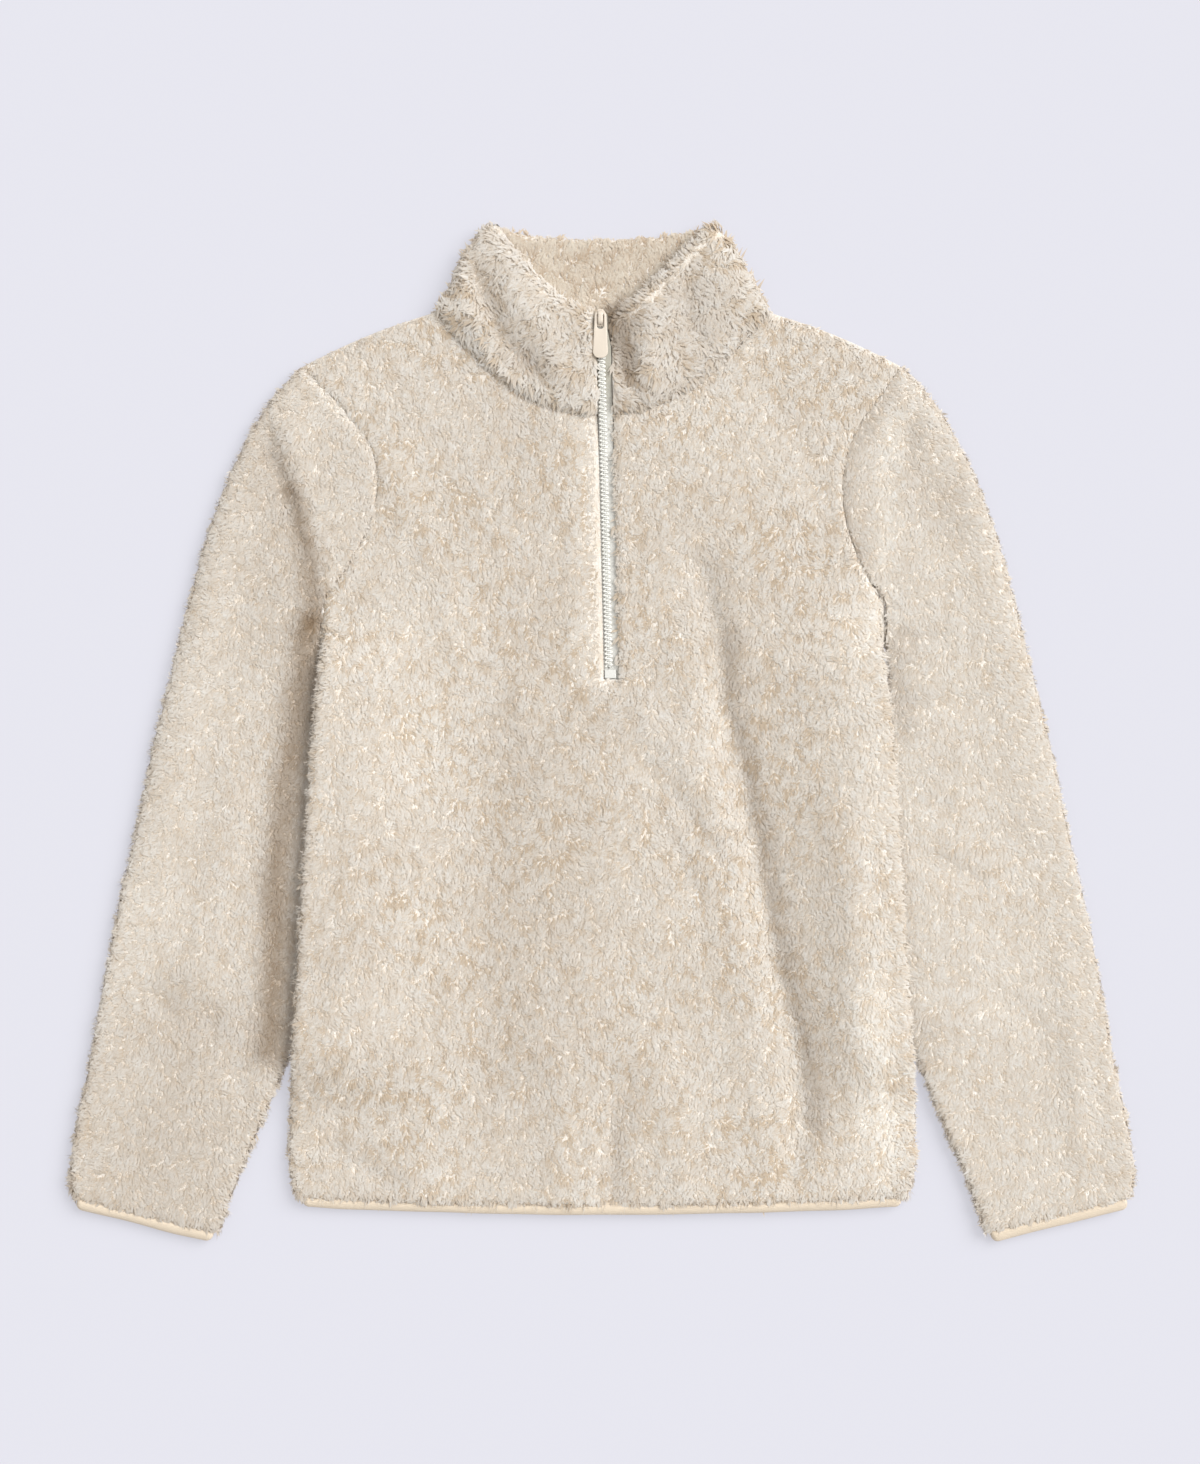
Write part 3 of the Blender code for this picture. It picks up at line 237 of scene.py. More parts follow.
# The lights: each one's name, way, share of the main light's strength, angle and tone
LIGHTS = (
    ("key", (0.78, 0.48, 0.86), 1.0, 0.8, (0.985, 0.985, 0.98)),
    ("fill", (0.1, 0.3, 1.6), 0.12, 1.6, (0.97, 0.98, 1.0)),
)
SKY_TONE = (1.0, 0.98, 0.945, 1)
EYE, SENSOR = (-0.0014, 0.0007), 36.0  # the camera's place in plan, in metres, and its sensor's width

# Each piece of cloth: the width and length that it is cut from, how it is held, what it lies on,
# and the cut's area, in metres
CUTS = {
    "front": ((0.45, 0.66), "laid", "back", 0.251),
    "back": ((0.45, 0.66), "laid", "floor", 0.261),
    "sleeve_right": ((0.39, 0.62), "folded", "floor", 0.143),
    "sleeve_left": ((0.39, 0.62), "folded", "floor", 0.141),
    "collar": ((0.55, 0.078), "folded", "back", 0.0365),
}

# Creases: height, half width and the line that each follows
BODY_FOLDS = (
    (-3.6, (10, 9), ((72, 117), (84, 67), (86, 24), (98, -19), (105, -63), (114, -106), (122, -149),
                     (131, -192), (141, -235), (144, -279), (138, -318))),
    (1.8, 16, ((56, 60), (78, -60), (102, -180), (120, -290))),
    (1.8, 30, ((-112, 60), (-122, -80), (-118, -200), (-126, -320))),
    (-1.4, 20, ((-78, -40), (-84, -160), (-80, -260))),
    (-2.4, 9, ((14, -250), (10, -300), (7, -340))),
    (1.6, 13, ((-30, -240), (-28, -340))),
    (1.6, 15, ((42, -230), (60, -334))),
    (1.3, 12, ((28, 20), (60, -20), (92, -70))),
    (-1.2, 6, ((27, -19), (58, -52), (85, -91))),
    (-1.0, 6, ((35, -50), (52, -80), (66, -112))),
    (1.8, 11, ((-52, 32), (-58, 4))),
    (-1.6, 8, ((-196, -296), (-150, -322))),
    (-1.2, 9, ((160, 60), (120, 30), (96, 26))),
    (1.4, 14, ((-150, 190), (-120, 130), (-100, 60))),
    (-1.0, 10, ((120, 240), (150, 200), (158, 160))),
    (1.2, 14, ((170, -60), (180, -160), (178, -260))),
)
SLEEVE_FOLDS = {
    -1: (
        (-2.2, 10, ((-236, 212), (-217, 164), (-203, 122))),
        (1.6, 16, ((-268, 150), (-296, 20), (-318, -90))),
        (-1.7, 9, ((-322, -186), (-304, -204), (-290, -196), (-276, -214))),
        (-1.4, 8, ((-262, -240), (-254, -268))),
        (1.3, 14, ((-262, -20), (-276, -120), (-290, -170))),
        (-1.3, 9, ((-214, 40), (-244, 20), (-262, -14))),
    ),
    1: (
        (2.2, 8, ((211, 240), (206, 205), (200, 182))),
        (-2.0, 9, ((218, 218), (226, 188), (226, 176))),
        (-1.7, 7, ((204, 76), (222, 66), (240, 70))),
        (-1.7, 7, ((204, 24), (226, 18), (256, 24))),
        (-1.5, 7, ((208, -44), (226, -52), (244, -50))),
        (-1.6, 8, ((214, -84), (240, -90), (268, -106))),
        (1.5, 8, ((330, -166), (338, -200), (342, -300))),
        (1.4, 16, ((270, 150), (290, 40), (306, -60))),
        (-1.2, 10, ((286, -190), (306, -204), (318, -230))),
    ),
}
COLLAR_FOLDS = (
    (-3.8, (5, 10), ((-88, 326), (-82, 306), (-76, 291), (-65, 278), (-50, 260))),
    (1.6, 9, ((-62, 318), (-42, 292), (-28, 262))),
    (1.6, 8, ((-98, 318), (-90, 296), (-80, 280))),
    (-1.6, 4, ((-84, 290), (-74, 275), (-62, 260), (-50, 250))),
    (-4.4, (6, 12), ((7, 300), (9, 276), (15, 254))),
    (1.6, 8, ((32, 300), (32, 276), (36, 252))),
    (-2.0, (5, 9), ((58, 324), (59, 305), (66, 283))),
    (1.0, 9, ((88, 320), (92, 300), (84, 280))),
)

# Tints of the pile's colour, lighter (+) and darker (-): partly the ways in which the nap lies, and
# partly painted shade in creases, along seams, under the body's edge and beside the pull, and painted
# light on lit ridges and edges. Amount, half width and line
BODY_TINTS = (
    (0.25, 400, ((0, 200), (0, -300))),
    (-0.5, 80, ((-140, -130), (-140, -300))),
    (0.9, 9, ((197, 122), (194, 100), (192, 80))),
    (1.1, (22, 10), ((196, -190), (205, -310))),
    (0.5, 34, ((-124, 60), (-130, -120), (-124, -320))),
    (-0.6, 60, ((-50, 20), (-48, -230))),
    (-0.4, 60, ((-60, 200), (-40, 120))),
    (0.7, 18, ((182, 100), (188, 20), (196, -80), (206, -280))),
    # Painted shade along the trough of the front's deepest crease
    (-1.7, (5, 13), ((90, 67), (92, 24), (104, -19), (112, -63), (120, -106), (128, -149), (137, -192),
                     (147, -235), (151, -279))),
    # Paler pressed pile beside the zip, and painted shade on the bare strip next to it
    (0.5, (12, 6), ((-14, 230), (-9, 44))),
    (-0.9, 4, ((-5, 230), (0, 44))),
    (-0.5, 30, ((70, 160), (96, 80))),
    (0.3, 24, ((80, 230), (130, 180))),
    (-0.8, 7, ((14, -262), (10, -300), (7, -340))),
)
SLEEVE_TINTS = {
    -1: (
        (0.5, 90, ((-320, 120), (-300, -120))),
        (-0.4, 120, ((-310, -40), (-330, -300))),
        (-0.7, 30, ((-240, 190), (-236, 80))),
        (-0.4, 60, ((-320, -230), (-300, -320))),
        # Painted shadow that the body's edge casts on this sleeve
        (-1.7, (9, 7), ((-234, 202), (-223, 180))),
        (-3.5, (11, 8), ((-219, 172), (-214, 150), (-209, 128), (-207, 106), (-206, 86))),
        (-4.3, (11, 13), ((-210, 74), (-218, 24), (-224, -19), (-230, -63), (-234, -106), (-234, -149),
                          (-236, -192), (-240, -226))),
        (-0.6, 18, ((-304, -200), (-284, -210))),
        (0.4, 30, ((-330, -120), (-350, -260))),
    ),
    1: (
        (0.15, 400, ((300, 200), (320, -300))),
        # Painted shade beside the armhole seam, and painted light on the ridge beyond it and beside the
        # body's edge
        (-1.0, (6, 12), ((198, 243), (186, 223), (177, 192), (171, 165), (176, 138), (182, 119))),
        (1.1, (9, 11), ((206, 228), (206, 190), (205, 150), (199, 124))),
        (-1.0, (7, 9), ((222, 216), (219, 190), (221, 168))),
        (-0.8, 12, ((246, 172), (250, 150))),
        (-0.9, (4, 10), ((210, 66), (214, 12))),
        (1.0, (8, 12), ((217, -10), (219, -40), (223, -77), (229, -135), (232, -192))),
        (0.3, 26, ((240, 120), (262, -40), (290, -180))),
        (-0.5, 8, ((206, 76), (226, 66))),
    ),
}
COLLAR_TINTS = (
    # Painted shade along a crease of the collar's end and in the hollow beside the pull
    (-1.4, (5, 12), ((-88, 326), (-82, 306), (-76, 291), (-65, 278), (-50, 260))),
    (-3.6, (6, 11), ((10, 300), (12, 276), (16, 256))),
    (0.9, 9, ((-116, 300), (-110, 294), (-90, 273), (-60, 250), (-30, 237), (-8, 232))),
    (-0.7, 9, ((60, 318), (63, 290))),
    (0.5, 12, ((-38, 320), (-14, 306))),
)
TINTS = {
    "front": BODY_TINTS,
    "back": BODY_TINTS,
    "sleeve_right": SLEEVE_TINTS[-1],
    "sleeve_left": SLEEVE_TINTS[1],
    "collar": COLLAR_TINTS,
}


# --- shapes ---------------------------------------------------------------------------------

WAVES = 9  # sine waves in a ripple


def smooth(low, high, at):
    """0 up to low, 1 from high on, and a soft S between them: 3t squared less 2t cubed."""
    share = np.clip((at - low) / (high - low), 0, 1)
    return share * share * (3 - 2 * share)


def fade(low, high, at):
    """What smooth leaves: 1 up to low, and 0 from high on."""
    return 1 - smooth(low, high, at)


def through(table, at, column=1):
    """A smooth curve through a table's rows: cubic pieces whose slopes are the rows' own."""
    knots, values = table[:, 0], table[:, column]
    slopes = np.gradient(values, knots)
    at = np.clip(at, knots[0], knots[-1])
    i = np.clip(np.searchsorted(knots, at) - 1, 0, len(knots) - 2)
    span = knots[i + 1] - knots[i]
    t = (at - knots[i]) / span
    start = (2 * t**3 - 3 * t**2 + 1) * values[i] + (t**3 - 2 * t**2 + t) * span * slopes[i]
    end = (3 * t**2 - 2 * t**3) * values[i + 1] + (t**3 - t**2) * span * slopes[i + 1]
    return start + end


def rounded(distance, radius):
    """A quarter circle's height, from 0 at an edge to 1 at the radius."""
    return np.sqrt(1 - (1 - np.clip(distance / radius, 0, 1)) ** 2)


def folded(distance, radius):
    """A folded edge's height: a low upright wall, and the rest of a quarter circle behind it."""
    return np.maximum(EDGE_WALL, rounded(distance, radius))


def pinched(distance):
    """The share of the loft that a seam leaves at some distance from it."""
    return SEAM_PINCH + (1 - SEAM_PINCH) * rounded(distance, SEAM_REACH)


def bound(distance):
    """The share of the loft that a binding leaves at some distance from it."""
    return 0.5 + 0.5 * rounded(distance, HEM_ROUND)


def away_from(line, x, y):
    """Signed distance in plan to a line of straight pieces: the least of each piece's.

    It is positive on the left of the way that the line goes, which is +X of a line going down.
    """
    least = np.full(np.broadcast(x, y).shape, np.inf)
    for (x1, y1), (x2, y2) in zip(line[:-1], line[1:]):
        dx, dy = x2 - x1, y2 - y1
        t = np.clip(((x - x1) * dx + (y - y1) * dy) / (dx * dx + dy * dy), 0, 1)
        far = np.hypot(x - x1 - t * dx, y - y1 - t * dy)
        side = np.where((y - y1) * dx - (x - x1) * dy >= 0, 1, -1)
        least = np.where(far < np.abs(least), far * side, least)
    return least


def bells(table, x, y):
    """The sum of soft ridges and troughs: each is a bell curve's height across its line.

    A half width may be a pair, for the line's two sides.
    """
    total = np.zeros(np.broadcast(x, y).shape)
    for amount, spread, line in table:
        far = away_from(line, x, y)
        below, above = spread if isinstance(spread, tuple) else (spread, spread)
        total = total + amount * np.exp(-((far / np.where(far < 0, below, above)) ** 2))
    return total


def ripple(x, y, size, seed):
    """Smooth noise from about -1 to 1: a sum of sine waves in random directions, near one size."""
    draw = np.random.default_rng(seed)
    total = 0
    for _ in range(WAVES):
        angle, phase = draw.uniform(0, 2 * np.pi, 2)
        pace = 2 * np.pi / (size * draw.uniform(0.7, 1.6))
        total = total + np.sin(pace * (np.cos(angle) * x + np.sin(angle) * y) + phase)
    return total / np.sqrt(WAVES)


def hem_line(x):
    """The binding's lower edge: highest at the two side seams."""
    return HEM_LOW + HEM_RISE * (np.minimum(x, HEM_END) / HEM_END) ** 2


def top_line(x, drop):
    """The body's upper edge: a power curve for the neckline, then the sloping shoulders."""
    neck = NECK_TOP - drop * (1 - np.clip(x / NECK_HALF, 0, 1) ** NECK_POWER)
    share = np.clip((x - NECK_HALF) / (SHOULDER_HALF - NECK_HALF), 0, 1)
    slope = NECK_TOP + (SHOULDER_TIP - NECK_TOP) * share + SHOULDER_BOW * np.sin(np.pi * share)
    return np.where(x < NECK_HALF, neck, slope)


def side_seam(y):
    """Half width of the body at its side seam, which ends below the armpit."""
    return through(BODY_SIDE, np.minimum(y, ARMPIT - 1))


def body_edge(y, side):
    """Half width of the body at a height: the side seam, and above it the armhole."""
    armhole = through(ARMHOLE, y, 1 if side < 0 else 2)
    return np.where(y < ARMPIT, through(BODY_SIDE, y), armhole)


def risen(y):
    """The share of the body's lift over the sleeves, which fades at its two ends."""
    return smooth(*LIFT_LOW, y) * fade(LIFT_TOP[1], LIFT_TOP[0], y)


def lift(x, y):
    """How far the body rides up over the sleeve that lies under its side."""
    share = np.clip((y - LIFT_LOW[0]) / (LIFT_TOP[0] - LIFT_LOW[0]), 0, 1)
    outer = np.minimum(through(SLEEVE_INNER, y) - 2, LIFT_OUTER)
    height = 0
    for side, (low, top) in LIFT_INNER.items():
        inner = low + (top - low) * share
        height = height + np.where(x * side > 0, smooth(inner, outer, np.abs(x)), 0)
    return LIFT * risen(y) * height


def zip_x(y):
    """The coil's centre line, which leans a little across the body."""
    share = (y - ZIP_END[1]) / (ZIP_TOP[1] - ZIP_END[1])
    return ZIP_END[0] + (ZIP_TOP[0] - ZIP_END[0]) * share


def zip_rise(y):
    """Height of the tapes' middle, which climbs from the front onto the collar."""
    return TAPE_LOW + (TAPE_HIGH - TAPE_LOW) * smooth(*ZIP_CLIMB, y)


def opening_edge(y, side):
    """The fleece's edge beside the zip: a steady distance from the coil, and wider at the slider."""
    return zip_x(y) + side * (OPENING[side] + OPENING_AT_SLIDER * smooth(*NEAR_SLIDER, y))


def shares(count, near_start=(), near_end=()):
    """Shares from 0 to 1: evenly spaced, with extra ones close to either end."""
    even = np.linspace(0, 1, count + 1)
    low, high = max(near_start, default=0) * 1.2, 1 - max(near_end, default=0) * 1.2
    even = even[((even == 0) | (even > low)) & ((even == 1) | (even < high))]
    return np.unique(np.concatenate([even, near_start, 1 - np.array(near_end)]))


# Where the rows and columns of a panel close up: shares of its width or height in from its edges
EDGE_SHARES = (0.004, 0.012, 0.028, 0.05, 0.08)
FOLD_SHARES = (0.004, 0.014, 0.03, 0.055)
HEM_SHARES = (0.002, 0.006, 0.014)
TOP_SHARES = (0.005, 0.014, 0.03, 0.05)


def panel(side, front, columns=(16, 24), rows=(62, 30)):
    """Half of the front or back as a grid of points on its outer face, with its inner face.

    Columns run from the side past the neck's corner to the middle, and rows from the hem past
    the armpits to the shoulder. Each point is a straight blend between the edges. Its height
    is the layer's floor plus the loft that its seams and folded edges leave, plus the creases.
    """
    drop = NECK_DROP if front else BACK_NECK_DROP
    to_neck = shares(columns[0], EDGE_SHARES)
    to_middle = shares(columns[1], (), (0.02, 0.05))[1:]
    to_armpit = shares(rows[0], HEM_SHARES)
    bottom = hem_line(0) + BIND_DEEP + GAP
    slit = (SLIT_END - bottom) / (ARMPIT - bottom)
    to_armpit[np.argmin(np.abs(to_armpit - slit))] = slit
    to_top = shares(rows[1], (), TOP_SHARES)[1:]
    low = np.append(to_armpit, np.ones(len(to_top)))[:, None]
    high = np.append(np.zeros(len(to_armpit)), to_top)[:, None]
    outer_share = np.append(to_neck, np.ones(len(to_middle)))[None]
    inner_share = np.append(np.zeros(len(to_neck)), to_middle)[None]
    hem_end = hem_line(HEM_END) + BIND_DEEP + GAP

    def columns_at(side_y, middle_y):
        edge = body_edge(side_y, side)
        middle = side * opening_edge(middle_y, side) if front else 0.0
        return edge + (NECK_HALF - edge) * outer_share + (middle - NECK_HALF) * inner_share

    hem_y = hem_line(columns_at(hem_end, bottom)) + BIND_DEEP + GAP
    top_y = top_line(columns_at(SHOULDER_TIP, NECK_TOP - drop), drop)
    y = hem_y + (ARMPIT - hem_y) * low + (top_y - ARMPIT) * high
    side_y = hem_end + (ARMPIT - hem_end) * low + (SHOULDER_TIP - ARMPIT) * high
    x = columns_at(side_y, y[:, -1:])
    edge = x[:, :1]
    in_from_side = edge - x
    below_top = top_y - y
    shoulder = x[-1] > NECK_HALF + 0.5
    below_armpit = side_y < ARMPIT
    side_fold = np.where(below_armpit, folded(in_from_side, SIDE_ROUND), 1)
    top_fold = np.where(shoulder, folded(below_top, TOP_ROUND), 1)
    fold = np.minimum(np.minimum(side_fold, top_fold), bound(y - hem_y))
    seam = np.where(below_armpit, 1, pinched(in_from_side))
    seam = np.minimum(seam, np.where(shoulder, 1, 0.35 + 0.65 * pinched(below_top)))
    if front:
        from_slit = np.hypot(x[:, -1:] - x, np.minimum(y - SLIT_END, 0))
        from_slit = np.where(y > SLIT_END - TAPE_HALF, from_slit, FAR)
        seam = np.minimum(seam, pinched(from_slit))
        floor = MID + GAP / 2 + lift(side * x, y)
        relief = bells(BODY_FOLDS, side * x, y) * smooth(EDGE_WALL, 1, fold)
        over_tape = (from_slit < TAPE_HALF) & (y > TAPE_FOOT)
        under = floor + np.where(over_tape, TAPE_CLEAR, np.maximum(relief, 0))
        upper = floor + PLY * (1 - PILE_SHARE) * np.minimum(fold, seam) + relief
        upper = np.maximum(upper, under + LEAST_PLY)
    else:
        behind = np.maximum(x - BACK_BEHIND, 0)
        upper = lift(side * behind, y) + PLY * (1 - fold)
        under = upper + PLY * np.minimum(fold, seam)
        upper = upper + PLY * PILE_SHARE * fold * smooth(0, 3, fold * 4)
    return {"outer": np.dstack([side * x, y, upper]), "inner": np.dstack([side * x, y, under])}


def sleeve_plan(side, across, along):
    """Plan points of a flattened sleeve, by share across and share from cuff to armhole.

    Rows run straight from the outer edge to the inner edge, and bend more and more towards
    the armhole's curve as they come near it.
    """
    u, v = across[None, :, None], along[:, None, None]

    def on(table, share):
        y = table[0, 0] + (table[-1, 0] - table[0, 0]) * share
        return np.stack([through(table, y), y], axis=-1)[:, None]

    plan = (1 - u) * on(SLEEVE_OUTER, along) + u * on(SLEEVE_INNER, 1 - (1 - along) ** SLEEVE_LEAN)
    y = SHOULDER_TIP + (SLEEVE_INNER[-1, 0] - SHOULDER_TIP) * across
    head = np.stack([body_edge(y, side), y], axis=-1)[None]
    plan = plan + v**SLEEVE_BEND * (head - plan[-1:])
    plan[..., 0] += SEAM_SIDE * smooth(0.6, 1, along)[:, None]
    return plan


def sleeve(side, columns=30, rows=96):
    """A sleeve as a flattened tube: an upper layer and a lower one that meet at both edges.

    The tube's half height is a quarter circle's rise from each edge. Near the armhole it is
    pinched to its seam, and it is pressed where the body lies on it.
    """
    across = shares(columns, FOLD_SHARES, FOLD_SHARES)
    along = shares(rows, (0.001, 0.005, 0.012), (0.004, 0.01, 0.017))
    plan = sleeve_plan(side, across, along)
    x, y = plan[..., 0], plan[..., 1]
    v = along[:, None]
    wide = np.hypot(*(plan[:, -1] - plan[:, 0]).T)[:, None]
    from_edge = np.minimum(across[None], 1 - across[None]) * wide
    from_armhole = (1 - v) * SLEEVE_LONG
    free = smooth(*PRESS_ENDS, x - side_seam(y))
    press = 1 - (1 - SLEEVE_PRESSED) * (1 - free) * risen(y)
    relief = bells(SLEEVE_FOLDS[side], side * x, y) + cap_rise(side, x, y, from_armhole)
    relief = relief * smooth(0, 0.05, v) * press * free * smooth(0, 12, from_edge)
    loft = 2 * SLEEVE_HALF_PLY * pinched(from_armhole) * bound(v * SLEEVE_LONG)
    curve = rounded(from_edge, SIDE_ROUND)
    high = (TUBE_GAP / 2 + loft * (1 - PILE_SHARE)) * curve * press + relief
    low = (MID - SLEEVE_FLOOR) * curve * press
    centre = MID * press
    inset = np.minimum(SLEEVE_WALL / wide, 0.05)
    inner_plan = plan[:, :1] + (plan[:, -1:] - plan[:, :1]) * inset[..., None]
    inner_plan = inner_plan + (plan - plan[:, :1]) * (1 - 2 * inset[..., None])
    grid = {"upper": np.dstack([side * x, y, centre + high])}
    grid["lower"] = np.dstack([side * x, y, centre - low])
    hollow = (TUBE_GAP / 2 + 0.2) * smooth(0, 10, from_edge) + 0.1
    ix, iy = side * inner_plan[..., 0], inner_plan[..., 1]
    top = centre + hollow + np.maximum(relief, 0) * smooth(4, 14, from_edge)
    grid["outer"] = np.concatenate([grid["upper"], grid["lower"][:, -2:0:-1]], axis=1)
    inner_up = np.dstack([ix, iy, np.minimum(top, centre + high - SLEEVE_LEAST * curve)])
    inner_low = np.dstack([ix, iy, centre - hollow])[:, -2:0:-1]
    grid["inner"] = np.concatenate([inner_up, inner_low], axis=1)
    return grid


def cap_rise(side, x, y, from_armhole):
    """The sleeve head's rise, from the armhole seam to a crease beside it, fading at its ends."""
    (x1, y1), (x2, y2) = CAP_CREASE
    past = ((x - x1) * (y2 - y1) - (y - y1) * (x2 - x1)) / np.hypot(x2 - x1, y2 - y1)
    ends = smooth(y2 - 40, y2 + 6, y) * fade(y1 - 6, y1 + 26, y)
    return CAP_RISE[side] * smooth(-3, 6, past) * smooth(0, 14, from_armhole) * ends


def collar_heights(rows):
    """By rows: half the collar's thickness, the share that its top edge leaves, and its folds' x."""
    full = COLLAR_HALF_PLY * pinched(rows * COLLAR_TALL)
    rim = folded((1 - rows) * COLLAR_TALL, COLLAR_HALF_PLY * 1.6)
    fold_y = COLLAR_FOLD[0, 0] + (COLLAR_FOLD[-1, 0] - COLLAR_FOLD[0, 0]) * rows
    return full, rim, through(COLLAR_FOLD, fold_y)


def collar_top(share):
    """Height in plan of the back collar's top edge, by share of the way out to its fold."""
    return COLLAR_FOLD[-1, 0] - COLLAR_BACK_DIP * (1 - share**DIP_POWER)


def collar_back(rows, across):
    """Plan points of the back of the collar. across runs from -1 to 1."""
    low = top_line(np.abs(across) * NECK_HALF, BACK_NECK_DROP) + SEAM_SIDE
    return across * collar_heights(rows)[2], low + (collar_top(np.abs(across)) - low) * rows


def collar_flap(side, rows, across):
    """One front end of the collar: plan points, its underside, and its loft and creases.

    across runs from 0 at the zip opening to 1 at the fold. The loft is given whole, and as it is
    left by the opening's seam and the top edge's turn.
    """
    full, rim, fold_x = collar_heights(rows)
    start = OPENING[side] + 0.6 * side
    x_low = start + (NECK_HALF - start) * across
    low = top_line(x_low, NECK_DROP) + SEAM_SIDE
    high = through(COLLAR_FRONT_TOP, start + (COLLAR_FOLD[-1, 1] - start) * across)
    y = low + (high - low) * rows
    opening = side * opening_edge(y, side)
    x = opening + (fold_x - opening) * across
    floor = MID + GAP / 2 + COLLAR_CLIMB * smooth(0, COLLAR_CLIMB_OVER, rows * COLLAR_TALL)
    share = np.clip(x / NECK_HALF, 0, 1)
    back_low = top_line(share * NECK_HALF, BACK_NECK_DROP)
    up = np.clip((y - back_low) / (collar_top(share) - back_low), 0, 1)
    back_top = np.where(y < back_low - 1, 0, 2 * COLLAR_HALF_PLY * pinched(up * COLLAR_TALL))
    under = np.maximum(floor, back_top + 2 * GAP)
    relief = bells(COLLAR_FOLDS, side * x, y) * smooth(0, 0.2, rows) * smooth(EDGE_WALL, 1, rim)
    half = full * rim * pinched(x - opening)
    return x, y, under, full, half, relief


def collar(columns=(22, 40), rows=26):
    """The collar, a doubled band: its outer face over both ends and under the back, and its inner."""
    r = shares(rows, (0.03, 0.08), (0.012, 0.03, 0.06, 0.1))[:, None]
    flap = shares(columns[0], (0.02,), (0.01, 0.03, 0.06, 0.1))[None]
    back = shares(columns[1], (0.005, 0.015, 0.035, 0.06), (0.005, 0.015, 0.035, 0.06))[None] * 2 - 1
    full, rim, fold_x = collar_heights(r)
    ends = {}
    for side in (-1, 1):
        x, y, under, full, half, relief = collar_flap(side, r, flap)
        middle = under + full
        turn = rounded(fold_x - x, COLLAR_TURN)
        centre = (middle[:, -1:] + full) / 2
        top = middle + half * COLLAR_CLOTH + relief
        top = top - COLLAR_BASE_DROP * fade(0, 9, r * COLLAR_TALL)
        inner_x = x - np.minimum(COLLAR_IN, x * 0.1) * smooth(0.75, 1, flap)
        ends[side] = {
            "centre": centre,
            "outer": np.dstack([side * x, y, centre + (top - centre) * turn]),
            "inner": np.dstack([side * inner_x, y, np.maximum(middle - half, centre + INNER_OFF)]),
        }
    x, y = collar_back(r, back)
    turn = rounded((1 - np.abs(back)) * fold_x, COLLAR_TURN)
    centre = np.where(back < 0, ends[-1]["centre"], ends[1]["centre"])
    outer = centre + (0.6 + full * (1 - rim) - centre) * turn
    face = np.broadcast_to(full * (1 + rim * COLLAR_CLOTH), x.shape)
    inner = np.where(turn < 0.999, np.minimum(face, centre - INNER_OFF), face)
    inner_x = x * (1 - 0.06 * smooth(0.75, 1, np.abs(back)))
    grids = {"back_face": np.dstack([x, y, face])}
    grids["right"], grids["left"] = ends[-1]["outer"], ends[1]["outer"]
    for name, between in (("outer", (x, y, outer)), ("inner", (inner_x, y, inner))):
        rows_of_three = [ends[-1][name], np.dstack(between)[:, 1:-1], ends[1][name][:, ::-1]]
        grids[name] = np.concatenate(rows_of_three, axis=1)
    return grids


# --- meshes ---------------------------------------------------------------------------------

# Points round a quarter corner of an outline, a quarter turn of a rim, and a binding's roll
CORNER_STEPS, RIM_STEPS, ROLL_STEPS = 10, 5, 28


def wall(outer, inner, wrap=False, hole=None):
    """Points and four-sided faces of a closed wall between two grids of points.

    wrap joins the last column to the first. hole is true for the cells that are left out. Every
    free edge, of the grid or of a hole, gets faces between the two grids.
    """
    rows, columns = outer.shape[:2]
    count = rows * columns
    index = np.arange(count).reshape(rows, columns)
    if wrap:
        index = np.concatenate([index, index[:, :1]], axis=1)
    corners = (index[:-1, :-1], index[:-1, 1:], index[1:, 1:], index[1:, :-1])
    solid = np.ones(corners[0].shape, bool) if hole is None else ~hole
    top = np.stack(corners, axis=-1)[solid]
    faces = [top, top[:, ::-1] + count]
    ring = np.pad(solid, ((1, 1), (0, 0)))
    ring = np.pad(ring, ((0, 0), (1, 1)), mode="wrap") if wrap else np.pad(ring, ((0, 0), (1, 1)))
    high, wide = solid.shape
    for k, (down, right) in enumerate(((0, 1), (1, 2), (2, 1), (1, 0))):
        free = solid & ~ring[down : down + high, right : right + wide]
        a, b = corners[k][free], corners[(k + 1) % 4][free]
        faces.append(np.stack([b, a, a + count, b + count], axis=-1))
    faces = np.concatenate(faces)
    points = np.concatenate([outer.reshape(-1, 3), inner.reshape(-1, 3)])
    used, renumbered = np.unique(faces, return_inverse=True)
    faces = renumbered.reshape(-1, 4)
    return outward(points[used], faces)


def outward(points, faces):
    """The same closed solid of four-sided faces, turned over if its signed volume is negative."""
    a, b, c, d = (points[faces[:, k]] for k in range(4))
    volume = np.sum(a * (np.cross(b, c) + np.cross(c, d)))
    return points, faces if volume > 0 else faces[:, ::-1]


def piece(name, points, faces, material, body=BODY, attributes=None, normals=None):
    """A named mesh object from arrays of points in millimetres and faces with equal corners."""
    mesh = bpy.data.meshes.new(name)
    count, sides = faces.shape
    mesh.vertices.add(len(points))
    mesh.vertices.foreach_set("co", (points * MM).astype(np.float32).ravel())
    mesh.loops.add(count * sides)
    mesh.loops.foreach_set("vertex_index", faces.astype(np.int32).ravel())
    mesh.polygons.add(count)
    mesh.polygons.foreach_set("loop_start", np.arange(0, count * sides, sides, dtype=np.int32))
    mesh.polygons.foreach_set("loop_total", np.full(count, sides, np.int32))
    mesh.polygons.foreach_set("use_smooth", np.ones(count, bool))
    for key, values in (attributes or {}).items():
        layer = mesh.attributes.new(key, "FLOAT", "POINT")
        layer.data.foreach_set("value", np.asarray(values, np.float32).ravel())
    mesh.update(calc_edges=True)
    mesh.validate()
    if normals is not None:
        mesh.normals_split_custom_set_from_vertices(normals)
    mesh.materials.append(material)
    obj = bpy.data.objects.new(name, mesh)
    bpy.context.scene.collection.objects.link(obj)
    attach(obj, body)
    return obj


